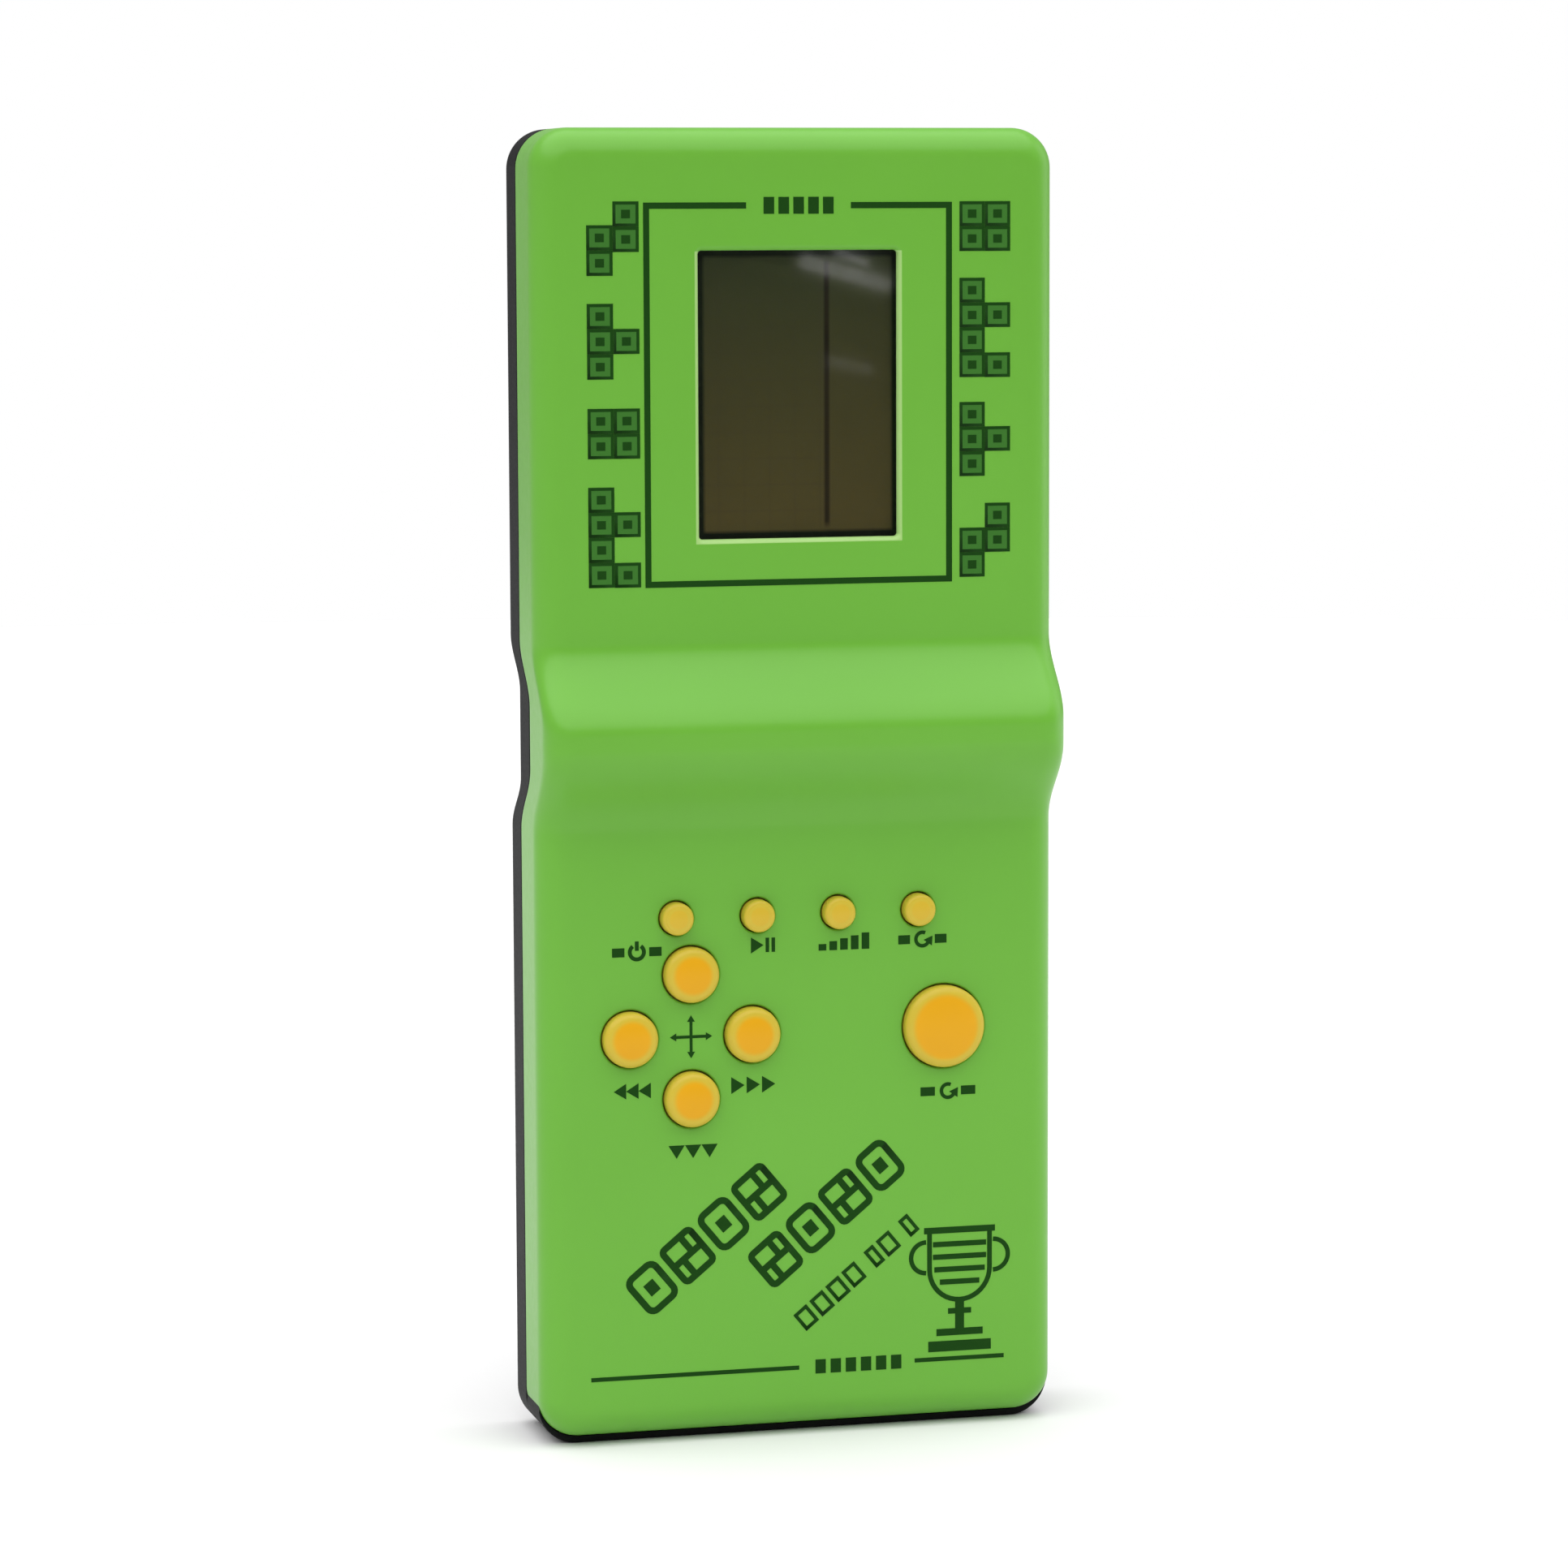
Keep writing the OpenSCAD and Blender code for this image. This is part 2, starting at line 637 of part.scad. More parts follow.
// Origin at the front wall's inner face; a crown of edge rounding tops the cap.
module button(k) {
    r = k[2];
    top = wall + key_proud;
    edge = 0.6;
    crown = 0.25;
    color("orange") facing(k[1][0], y_front_in, k[1][1]) rotate_extrude()
        polygon(concat(
            [[0, -flange_t], [r + key_flange, -flange_t], [r + key_flange, 0], [r, 0]],
            [for (a = [0 : 15 : 75]) [r - edge + edge * cos(a), top - crown - edge + edge * sin(a)]],
            [for (i = [0 : 4]) let (x = (r - edge) * (1 - i / 4))
                [x, top - crown * pow(x / (r - edge), 2)]]
        ));
}

// A hollow rubber cone under the key, standing on the mat.
module dome(k) {
    foot = dome_foot(k[2]);
    top = dome_top(k[2]);
    hollow = y_mat - y_pill + pill_t;
    color([0.75, 0.75, 0.72]) facing(k[1][0], y_mat, k[1][1]) rotate_extrude()
        polygon([[foot - dome_wall, 0], [foot, 0], [top, cone_h], [top, dome_h], [0, dome_h],
            [0, hollow], [pill_r(k[2]) + 0.2, hollow]]);
}

// The conducting pill moulded into the dome, which closes the contact on the board.
module pill(k) {
    color([0.1, 0.1, 0.1]) facing(k[1][0], y_pill, k[1][1])
        cylinder(r = pill_r(k[2]), h = pill_t);
}

module rubber_mat() {
    color([0.78, 0.78, 0.74]) difference() {
        slab(2 * mat_half, y_mat, y_board, mat_z0, mat_z1);
        for (k = KEYS) facing(k[1][0], y_board + 1, k[1][1])
            cylinder(r = dome_foot(k[2]) - dome_wall, h = mat_t + 2);
        at_posts(board_posts, y_board + 1) cylinder(r = board_post_r + 0.3, h = mat_t + 2);
        at_posts(case_posts, y_board + 1) cylinder(r = case_post_r + 0.4, h = mat_t + 2);
    }
}

// ---- Board ----

module circuit_board() {
    color("darkgoldenrod") difference() {
        slab(2 * board_half, y_board, y_board_back, board_z0, board_z1);
        at_posts(board_posts, y_board_back + 1)
            cylinder(r = board_screw_r + screw_play, h = board_t + 2);
        at_posts(case_posts, y_board_back + 1) cylinder(r = case_post_r + 0.4, h = board_t + 2);
    }
}

// Two half-moon pads face each pill.
module key_contacts() {
    color("gold") for (k = KEYS) facing(k[1][0], y_board, k[1][1]) difference() {
        cylinder(r = pill_r(k[2]) + 0.5, h = contact_t);
        translate([-0.2, -k[2], -1]) cube([0.4, 2 * k[2], 2]);
    }
}

// Puts children on the back of the board, z above the pad centre, with their +Z pointing away from it.
module on_board_back(x, z) {
    translate([x, y_board_back, pad_z + z]) rotate([-90, 0, 0]) children();
}

module controller_cap() {
    cap_r = 6.5;
    cap_h = 1.8;
    color([0.08, 0.08, 0.08]) on_board_back(-14, 8.8) rotate_extrude()
        polygon(concat([[0, 0]], [for (a = [0 : 15 : 90]) [cap_r * cos(a), cap_h * sin(a)]]));
}

// Lies on the board with its two legs bent down into it.
module electrolytic_capacitor() {
    can_r = 2.5;
    leg_r = 0.25;
    color("royalblue") translate([16.5, y_board_back + can_r, pad_z - 5]) {
        cylinder(r = can_r, h = 10);
        for (x = [-1, 1]) translate([x, 0, 0]) {
            cylinder(r = leg_r, h = 4, center = true);
            translate([0, 0, leg_r - 2]) rotate([90, 0, 0]) cylinder(r = leg_r, h = can_r);
        }
    }
}

module ceramic_capacitors() {
    body_h = 3.2;
    color("peru") for (p = [[-24, -2.2], [-2, 21.8]]) {
        on_board_back(p[0], p[1]) translate([0, 0, body_h]) rotate([0, 90, 0])
            cylinder(r = 2, h = 1.4, center = true);
        for (s = [-1, 1]) on_board_back(p[0], p[1] + s * 1.2) cylinder(r = 0.25, h = body_h);
    }
}

module resistors() {
    leg_x = 3.25;
    color("tan") for (p = [[-22, 22.8], [12, 22.8], [22, 11.8]]) {
        on_board_back(p[0], p[1]) translate([0, 0, 1]) rotate([0, 90, 0]) {
            cylinder(r = 0.9, h = 3.6, center = true);
            cylinder(r = 0.25, h = 2 * leg_x + 0.5, center = true);
        }
        for (s = [-1, 1]) on_board_back(p[0] + s * leg_x, p[1]) cylinder(r = 0.25, h = 1);
    }
}

module transistor() {
    stand = 1.6;
    color([0.1, 0.1, 0.1]) on_board_back(-21, 14.3) {
        translate([0, 0, stand]) difference() {
            cylinder(r = 2.3, h = 3);
            translate([-3, 1.3, -1]) cube([6, 3, 5]);
        }
        for (x = [-1.27, 0, 1.27]) translate([x, 0, 0]) cylinder(r = 0.22, h = stand + 0.2);
    }
}

module board_screws() {
    color("silver") at_posts(board_posts, y_board_back)
        screw(board_screw_r, board_shank, board_screw_r + 0.9, board_head_t);
}

// ---- Sounder ----

module sounder_disc() {
    color("gold") facing(0, y_sounder, sounder_z) cylinder(r = sounder_r, h = sounder_t);
}

module sounder_ceramic() {
    color("ivory") facing(0, y_sounder - sounder_t, sounder_z)
        cylinder(r = sounder_r * 0.7, h = ceramic_t);
}

module sounder_wires() {
    color("black") for (route = sounder_routes)
        wire(smooth(route, 4), sounder_wire_r, 8, [1, 0, 0]);
}

// ---- Power ----

module cell(z, s) {
    nub_r = 2.6;
    nub_l = 1.0;
    body_l = cell_l - nub_l;
    shift = s * spring_l / 2;
    color("dimgray") translate([shift - s * cell_l / 2, cell_y, z]) rotate([0, s * 90, 0]) {
        cylinder(r = cell_d / 2, h = body_l);
        cylinder(r = nub_r, h = cell_l);
    }
}

module battery_lower() {
    cell(cell_z1, 1);
}

module battery_upper() {
    cell(cell_z2, -1);
}

module bridge_contact() {
    color("silver") translate([-bay_half, cell_y - plate_h / 2, cell_z1 - plate_h / 2])
        cube([plate_t, plate_h, cell_z2 - cell_z1 + plate_h]);
}

module end_contact(z) {
    color("silver") {
        translate([bay_half - plate_t, cell_y - plate_h / 2, z - plate_h / 2])
            cube([plate_t, plate_h, plate_h]);
        translate([bay_half - plate_t, cell_y - tail_w / 2, z - plate_t / 2])
            cube([plate_t + tail_l, tail_w, plate_t]);
    }
}

module positive_contact() {
    end_contact(cell_z1);
}

module negative_contact() {
    end_contact(cell_z2);
}

// A conical spring wound by formula from its plate to the flat end of its cell.
module contact_spring(s, z) {
    gap = spring_wire_r + 0.05;
    x0 = bay_half - plate_t - gap;
    length = spring_l - 2 * gap;
    steps = spring_turns * 12;
    path = [for (i = [0 : steps]) let (t = i / steps, a = 360 * spring_turns * t, r = 4.6 - 1.4 * t)
        [s * (x0 - length * t), cell_y + r * cos(a), z + r * sin(a)]];
    wire(path, spring_wire_r, 6, [1, 0, 0]);
}

module contact_springs() {
    color("silver") {
        contact_spring(-1, cell_z1);
        contact_spring(1, cell_z2);
    }
}

module battery_wire_positive() {
    color("red") wire(smooth(positive_route, 4), wire_r, 8, [1, 0, 0]);
}

module battery_wire_negative() {
    color("black") wire(smooth(negative_route, 4), wire_r, 8, [1, 0, 0]);
}

module case_screws() {
    color("silver") at_posts(case_posts, y_seam + seam_gap + head_floor)
        screw(case_screw_r, case_shank, case_head_r, case_head_t);
}

front_shell();
rear_shell();
battery_door();
window_lens();
display_holder();
front_polariser();
display_front_glass();
display_rear_glass();
reflector();
display_ribbon();
rubber_mat();
circuit_board();
key_contacts();
controller_cap();
electrolytic_capacitor();
ceramic_capacitors();
resistors();
transistor();
sounder_disc();
sounder_ceramic();
sounder_wires();
battery_wire_positive();
battery_wire_negative();
bridge_contact();
positive_contact();
negative_contact();
contact_springs();
battery_lower();
battery_upper();
case_screws();
board_screws();
display_screws();
for (k = KEYS) {
    button(k);
    dome(k);
    pill(k);
}
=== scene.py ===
"""Looks for the handheld LCD block game: moulded case, keys, battery door, prints, lights and camera.

Shapes are worked out in millimetres and become metres when a mesh is made.
X is to the player's right, Y goes into the case and Z is up. The case stands on its base.
"""

import math

import bmesh
import bpy
import numpy as np
from mathutils import Matrix, Vector


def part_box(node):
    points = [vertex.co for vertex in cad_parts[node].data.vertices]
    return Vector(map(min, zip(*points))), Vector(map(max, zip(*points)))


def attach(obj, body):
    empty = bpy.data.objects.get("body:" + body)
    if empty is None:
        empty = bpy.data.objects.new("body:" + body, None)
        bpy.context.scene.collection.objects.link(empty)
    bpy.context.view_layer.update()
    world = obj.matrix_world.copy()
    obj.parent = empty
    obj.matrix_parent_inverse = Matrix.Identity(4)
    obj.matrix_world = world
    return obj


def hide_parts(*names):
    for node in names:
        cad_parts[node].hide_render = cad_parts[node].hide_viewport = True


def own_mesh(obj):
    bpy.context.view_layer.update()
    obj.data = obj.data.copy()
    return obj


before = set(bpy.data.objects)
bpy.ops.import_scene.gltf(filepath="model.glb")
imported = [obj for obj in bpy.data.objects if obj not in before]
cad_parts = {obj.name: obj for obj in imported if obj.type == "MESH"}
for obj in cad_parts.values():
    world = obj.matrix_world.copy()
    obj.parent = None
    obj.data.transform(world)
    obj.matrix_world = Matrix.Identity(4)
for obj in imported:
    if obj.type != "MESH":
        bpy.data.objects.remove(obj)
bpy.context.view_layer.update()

MM = 0.001


def span(node):
    """Lowest and highest corners of a CAD node, in millimetres."""
    low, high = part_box(node)
    return np.array(low) / MM, np.array(high) / MM


def middle(node):
    """Centre of a CAD node's box, in millimetres."""
    low, high = span(node)
    return (low + high) / 2


# ---- Sizes of the case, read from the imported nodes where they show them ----

WALL = 2.0
RIM = 1.0
CORNER = 5.5
FRONT_ROUND = 4.0
REAR_ROUND = 2.2
LIP = 1.5
LIP_PLAY = 0.1
SEAM_GAP = 0.05
SEAM_EASE = 0.25
# Thickness of the rear cover's sole, which runs forward under the front cover.
SOLE = 1.2

HALF_W = span("front_shell")[1][0]
HEIGHT = span("front_shell")[1][2]
SEAM = span("front_shell")[1][1]
REAR = span("rear_shell")[1][1]
FACE = span("window_lens")[0][1] - RIM
DEPTH = REAR - FACE
FRONT_IN = FACE + WALL
REAR_IN = REAR - WALL
BOARD_Y = span("rubber_mat")[1][1]
HOLDER_Y = span("reflector")[1][1]

# The finger grip: a bulge on the front face that blends into a groove across the back.
GRIP_Z = 98.8
BULGE = 7.0
GROOVE = 6.0
CREST_HALF = 1.0
GROOVE_HALF = 6.5
CREST_SLOPE = 12.0
GROOVE_SLOPE = 7.0
GRIP_HALF = GROOVE_HALF + GROOVE_SLOPE

WINDOW_HALF_W = 14.1
WINDOW_HALF_H = 19.7
WINDOW_Z = middle("window_lens")[2]
WINDOW_CORNER = 0.5
# The display behind the window: a grid of cells, a dividing line, and painted shade round what stays clear.
GRID_PITCH = 1.8
DIVIDER_X, DIVIDER_HALF_W, DIVIDER_HALF_H = 4.6, 0.2, 17.6
CLEAR_X, CLEAR_HALF_W, CLEAR_HALF_H = 0.5, 13.1, 18.6
BAY_MID_Z = (middle("battery_lower")[2] + middle("battery_upper")[2]) / 2

KEYS = ("power", "pause", "sound", "reset", "right", "up", "left", "down", "rotate")
KEY_PLAY = 0.2
KEY_FLANGE = 0.6

# ---- Surfaces ----


def ease(u):
    """Half a cosine wave: 0 at u = 0, rising smoothly to 1 at u = 1, level outside."""
    return 0.5 - 0.5 * np.cos(np.pi * np.clip(u, 0, 1))


def carried(y, z):
    """How far forward the case is carried at depth y and height z: full height over a level stretch,
    then half a cosine wave down to nothing. Level, slope and height run evenly from face to back."""
    t = (y - FACE) / DEPTH
    level = CREST_HALF + (GROOVE_HALF - CREST_HALF) * t
    slope = CREST_SLOPE + (GROOVE_SLOPE - CREST_SLOPE) * t
    height = BULGE + (GROOVE - BULGE) * t
    return height * (1 - ease((np.abs(z - GRIP_Z) - level) / slope))


def case_outline(inset, lift):
    """Right half of the case outline, bottom to top, for columns of insets and of lifts of the base:
    a quarter circle, a straight side stepped finely along the grip, and a quarter circle."""
    turn = np.linspace(0, math.pi / 2, 17)
    side = GRIP_Z + GRIP_HALF * np.linspace(-1, 1, 81)
    radius = CORNER - inset
    x = np.hstack([
        HALF_W - CORNER + radius * np.sin(turn),
        HALF_W - inset + 0 * side,
        HALF_W - CORNER + radius * np.cos(turn),
    ])
    z = np.hstack([
        lift + CORNER - radius * np.cos(turn),
        side + 0 * inset,
        HEIGHT - CORNER + radius * np.sin(turn),
    ])
    return x, z


def lifted(profile, lift):
    """Insets and depths with one lift of the base for them all."""
    return np.column_stack([profile, np.full(len(profile), lift)])


def case_rings(profile):
    """Rings round the case, one for each inset, depth and lift in the profile: up the right side and
    down the left."""
    inset, y, lift = np.array(profile).T[:, :, None]
    x, z = case_outline(inset, lift)
    rings = np.stack([x, y - carried(y, z), z], axis=-1)
    mirrored = rings[:, ::-1] * (-1, 1, 1)
    return np.concatenate([rings, mirrored], axis=1)


def quarter(radius, start, across, along, steps):
    """A quarter circle of a profile, from start. It sets off along the first direction and ends along
    the second."""
    a = np.linspace(0, math.pi / 2, steps + 1)[:, None]
    turn = np.sin(a) * np.array(across) + (1 - np.cos(a)) * np.array(along)
    return list(np.array(start) + radius * turn)


def ring_stack(half_u, half_v, corner, profile, steps=12):
    """Rounded rectangles stacked along a depth. Each has its corner circles' centres in the same places
    and its corner radius grown by the profile's first value, at the depth that is its second."""
    grow, depth = np.array(profile, float).T[:, :, None]
    quadrant = np.repeat(np.arange(4), steps + 1)
    angle = quadrant * math.pi / 2 + np.tile(np.linspace(0, math.pi / 2, steps + 1), 4)
    sign_u = np.array([1, -1, -1, 1])[quadrant]
    sign_v = np.array([1, 1, -1, -1])[quadrant]
    radius = corner + grow
    u = sign_u * (half_u - corner) + radius * np.cos(angle)
    v = sign_v * (half_v - corner) + radius * np.sin(angle)
    return np.stack([u, v, depth + 0 * u], axis=-1)


def into_case(rings, x, z):
    """Turns a stack's u, v and depth into X, Z and Y about a place on the face."""
    return np.stack([rings[..., 0] + x, rings[..., 2], rings[..., 1] + z], axis=-1)


def across_case(rings, y, z):
    """Turns a stack's u, v and depth into Y, Z and X about a line that runs across the case."""
    return np.stack([rings[..., 2], rings[..., 0] + y, rings[..., 1] + z], axis=-1)


def disc_stack(x, z, radius, profile, steps=12):
    """Circles about an axis through the face: radius plus the profile's first value, at its second."""
    return into_case(ring_stack(radius, radius, radius, profile, steps), x, z)


def rod(y, z, radius, x0, x1, steps=12):
    """A round rod that runs across the case."""
    return across_case(ring_stack(radius, radius, radius, [(0, x0), (0, x1)], steps), y, z)


def block(low, high, corner=0.05, steps=3):
    """A box between two corners, its four upright edges slightly rounded."""
    low, high = np.array(low, float), np.array(high, float)
    x, _, z = (low + high) / 2
    half_x, _, half_z = (high - low) / 2
    rings = ring_stack(half_x, half_z, corner, [(0, low[1]), (0, high[1])], steps)
    return into_case(rings, x, z)


def skin(grids, strips=False):
    """One closed mesh through stacks of rings. Each ring joins the next with four-sided faces, and the
    two ends are closed with one face each, or with level strips from side to side."""
    points, faces, base = [], [], 0
    for grid in grids:
        m, n = grid.shape[:2]
        points.append(grid.reshape(-1, 3))
        index = base + np.arange(m * n).reshape(m, n)
        a, b = index[:-1], np.roll(index[:-1], -1, axis=1)
        c, d = np.roll(index[1:], -1, axis=1), index[1:]
        faces += np.stack([a, b, c, d], axis=-1).reshape(-1, 4).tolist()
        if strips:
            for ring in (index[0], index[-1]):
                right, left = ring[: n // 2], ring[n // 2:][::-1]
                faces += np.stack([right[:-1], right[1:], left[1:], left[:-1]], axis=-1).tolist()
        else:
            faces += [index[0].tolist(), index[-1].tolist()]
        base += m * n
    mesh = bpy.data.meshes.new("surface")
    mesh.from_pydata((np.concatenate(points) * MM).tolist(), [], faces)
    tidy = bmesh.new()
    tidy.from_mesh(mesh)
    bmesh.ops.remove_doubles(tidy, verts=tidy.verts, dist=1e-7)
    bmesh.ops.recalc_face_normals(tidy, faces=tidy.faces)
    tidy.to_mesh(mesh)
    tidy.free()
    return mesh


def piece(name, mesh, material, body="case", smooth=35):
    """Puts a finished mesh into the scene: one material, faces smooth up to an angle, riding on a body."""
    shown = bpy.data.objects.new(name, mesh)
    bpy.context.scene.collection.objects.link(shown)
    mesh.materials.clear()
    mesh.materials.append(material)
    mesh.shade_smooth()
    mesh.set_sharp_from_angle(angle=math.radians(smooth))
    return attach(shown, body)


def carve(mesh, steps):
    """Adds and takes away meshes, in order, and returns the result as one mesh."""
    shape = bpy.data.objects.new("shape", mesh)
    bpy.context.scene.collection.objects.link(shape)
    for operation, tool_mesh in steps:
        tool = bpy.data.objects.new("tool", tool_mesh)
        bpy.context.scene.collection.objects.link(tool)
        cut = shape.modifiers.new("cut", "BOOLEAN")
        cut.operation = operation
        cut.solver = "EXACT"
        cut.use_self = True
        cut.object = tool
        graph = bpy.context.evaluated_depsgraph_get()
        result = bpy.data.meshes.new_from_object(shape.evaluated_get(graph))
        shape.modifiers.clear()
        shape.data = result
        bpy.data.objects.remove(tool)
    result = shape.data
    bpy.data.objects.remove(shape)
    return result


def keep_flats_level(shown):
    """Lets the large flat faces set the normals at their edges, so that holes in them leave no streaks."""
    weighted = shown.modifiers.new("level", "WEIGHTED_NORMAL")
    weighted.keep_sharp = True
    weighted.weight = 100
    return shown


# ---- Materials ----

MIX_A, MIX_B, MIX_OUT = 6, 7, 2


def srgb(text):
    """Linear red, green, blue and alpha of an sRGB hex colour."""
    values = np.array([int(text[i:i + 2], 16) for i in (0, 2, 4)]) / 255
    linear = np.where(values <= 0.04045, values / 12.92, ((values + 0.055) / 1.055) ** 2.4)
    return (*linear.tolist(), 1.0)


def node(tree, kind, feeds, **settings):
    """Adds a node with its settings, and feeds its inputs from sockets or with plain values."""
    added = tree.nodes.new(kind)
    for key, value in settings.items():
        setattr(added, key, value)
    for key, value in feeds.items():
        if isinstance(value, bpy.types.NodeSocket):
            tree.links.new(value, added.inputs[key])
        else:
            added.inputs[key].default_value = value
    return added


def finish(name, main, shade, rough, grain, depth, drift=30.0, metallic=0.0, paint=None, **surface):
    """A moulded, rolled or coated finish. Its colour wanders between two over a long drift, its roughness
    and its relief follow a fine grain, and paint may lay a pattern over the colour. Grain, depth and drift
    are in millimetres."""
    material = bpy.data.materials.new(name)
    material.use_nodes = True
    tree = material.node_tree
    shader = tree.nodes["Principled BSDF"]
    place = node(tree, "ShaderNodeTexCoord", {}).outputs["Object"]
    fine = node(tree, "ShaderNodeTexNoise", {"Vector": place, "Scale": 1 / (grain * MM), "Detail": 3.0})
    broad = node(tree, "ShaderNodeTexNoise", {"Vector": place, "Scale": 1 / (drift * MM), "Detail": 1.0})
    colour = over(tree, [broad.outputs["Fac"]], srgb(main), srgb(shade))
    if paint:
        colour = paint(tree, place, colour)
    tree.links.new(colour, shader.inputs["Base Color"])
    gloss = node(tree, "ShaderNodeMapRange",
                 {"Value": fine.outputs["Fac"], "To Min": rough * 0.85, "To Max": rough * 1.15})
    tree.links.new(gloss.outputs["Result"], shader.inputs["Roughness"])
    relief = node(tree, "ShaderNodeBump",
                  {"Height": fine.outputs["Fac"], "Distance": depth * MM, "Strength": 1.0})
    tree.links.new(relief.outputs["Normal"], shader.inputs["Normal"])
    shader.inputs["Metallic"].default_value = metallic
    for key, value in surface.items():
        shader.inputs[key.replace("_", " ")].default_value = value
    return material


def band(tree, value, centre, half, soft):
    """1 where a value is within half of a centre, falling to 0 over a soft edge."""
    away = node(tree, "ShaderNodeMath", {0: value, 1: centre}, operation="SUBTRACT")
    size = node(tree, "ShaderNodeMath", {0: away.outputs[0]}, operation="ABSOLUTE")
    return node(tree, "ShaderNodeMapRange", {
        "Value": size.outputs[0], "From Min": half, "From Max": half + soft, "To Min": 1.0, "To Max": 0.0,
    }).outputs["Result"]


def over(tree, shares, below, above):
    """One colour laid over another, by the product of the shares."""
    share = shares[0]
    for other in shares[1:]:
        share = node(tree, "ShaderNodeMath", {0: share, 1: other}, operation="MULTIPLY").outputs[0]
    return node(tree, "ShaderNodeMix", {0: share, MIX_A: below, MIX_B: above},
                data_type="RGBA").outputs[MIX_OUT]


def display_cells(tree, place, colour):
    """The resting display: a warmer lower half, a dividing line, a faint grid of cells to its left, and round
    its edge a dark green band of painted shade and painted reflection of the opening's green walls."""
    axes = node(tree, "ShaderNodeSeparateXYZ", {"Vector": place}).outputs
    low = node(tree, "ShaderNodeMapRange", {
        "Value": axes["Z"],
        "From Min": (WINDOW_Z - WINDOW_HALF_H) * MM, "From Max": (WINDOW_Z + WINDOW_HALF_H) * MM,
    }).outputs["Result"]
    colour = over(tree, [low], srgb("7b6f3e"), colour)
    left = node(tree, "ShaderNodeMath", {0: axes["X"], 1: DIVIDER_X * MM}, operation="LESS_THAN")
    for axis in ("X", "Z"):
        wave = node(tree, "ShaderNodeMath", {0: axes[axis], 1: GRID_PITCH * MM}, operation="PINGPONG")
        line = band(tree, wave.outputs[0], 0.0, 0.1 * MM, 0.12 * MM)
        colour = over(tree, [line, left.outputs[0], 0.10], colour, srgb("5a5344"))
    divider = band(tree, axes["X"], DIVIDER_X * MM, DIVIDER_HALF_W * MM, 0.35 * MM)
    upright = band(tree, axes["Z"], WINDOW_Z * MM, DIVIDER_HALF_H * MM, 1.0 * MM)
    colour = over(tree, [upright, 0.8, divider], colour, srgb("2a1d10"))
    # Painted shade and painted reflection of the opening's green walls: a dark green band round the display's
    # edge.
    across = band(tree, axes["X"], CLEAR_X * MM, CLEAR_HALF_W * MM, 0.5 * MM)
    along = band(tree, axes["Z"], WINDOW_Z * MM, CLEAR_HALF_H * MM, 0.5 * MM)
    return over(tree, [across, along], srgb("1b2a0d"), colour)


def window_opening_painted_highlight(tree, place, colour):
    """Painted highlight: the green is paler along the sides and the foot of the window opening, where its
    eased edge catches the light.
    """
    axes = node(tree, "ShaderNodeSeparateXYZ", {"Vector": place}).outputs
    across = band(tree, axes["X"], 0.0, (WINDOW_HALF_W + 0.5) * MM, 0.1 * MM)
    along = band(tree, axes["Z"], (WINDOW_Z - 0.35) * MM, (WINDOW_HALF_H + 0.2) * MM, 0.1 * MM)
    near = band(tree, axes["Y"], FACE * MM, RIM * MM, 0.1 * MM)
    # Pale green painted highlight on the opening's eased edge and walls, left out along its top.
    return over(tree, [across, along, near, 0.45], colour, srgb("cfe8a4"))


def key_edge_painted_highlight(tree, place, colour):
    """Painted highlight: paler and yellower towards the key's edge, from the piece's own rim attribute."""
    rim = node(tree, "ShaderNodeAttribute", {}, attribute_name="rim").outputs["Fac"]
    return over(tree, [rim], colour, srgb("cdb43a"))


def copper_tracks(tree, place, colour):
    """Tracks under the green lacquer, as a coarse net of straight runs."""
    cells = node(tree, "ShaderNodeTexVoronoi", {"Vector": place, "Scale": 1 / (4.0 * MM)},
                 feature="DISTANCE_TO_EDGE", distance="EUCLIDEAN")
    track = band(tree, cells.outputs["Distance"], 0.0, 0.06, 0.03)
    return over(tree, [track, 0.55], colour, srgb("a9752f"))


def cell_label(tree, place, colour):
    """A plain two-tone jacket: a copper-coloured band round each cell's positive end."""
    axes = node(tree, "ShaderNodeSeparateXYZ", {"Vector": place}).outputs
    upper = node(tree, "ShaderNodeMath", {0: axes["Z"], 1: BAY_MID_Z * MM}, operation="GREATER_THAN")
    facing = node(tree, "ShaderNodeMapRange", {"Value": upper.outputs[0], "To Min": 1.0, "To Max": -1.0})
    along = node(tree, "ShaderNodeMath", {0: axes["X"], 1: facing.outputs["Result"]}, operation="MULTIPLY")
    share = node(tree, "ShaderNodeMapRange", {
        "Value": along.outputs[0], "From Min": 13.0 * MM, "From Max": 13.3 * MM}).outputs["Result"]
    return over(tree, [share], colour, srgb("b07a3c"))


def resistor_bands(tree, place, colour):
    """Colour bands round the body, a millimetre apart."""
    axes = node(tree, "ShaderNodeSeparateXYZ", {"Vector": place}).outputs
    wave = node(tree, "ShaderNodeMath", {0: axes["X"], 1: 0.5 * MM}, operation="PINGPONG")
    line = band(tree, wave.outputs[0], 0.0, 0.12 * MM, 0.05 * MM)
    return over(tree, [line], colour, srgb("7a2b1c"))


def can_stripe(tree, place, colour):
    """The pale stripe down one side of the capacitor's sleeve."""
    axes = node(tree, "ShaderNodeSeparateXYZ", {"Vector": place}).outputs
    stripe = band(tree, axes["X"], middle("electrolytic_capacitor")[0] * MM, 0.6 * MM, 0.1 * MM)
    return over(tree, [stripe], colour, srgb("c9cdd2"))


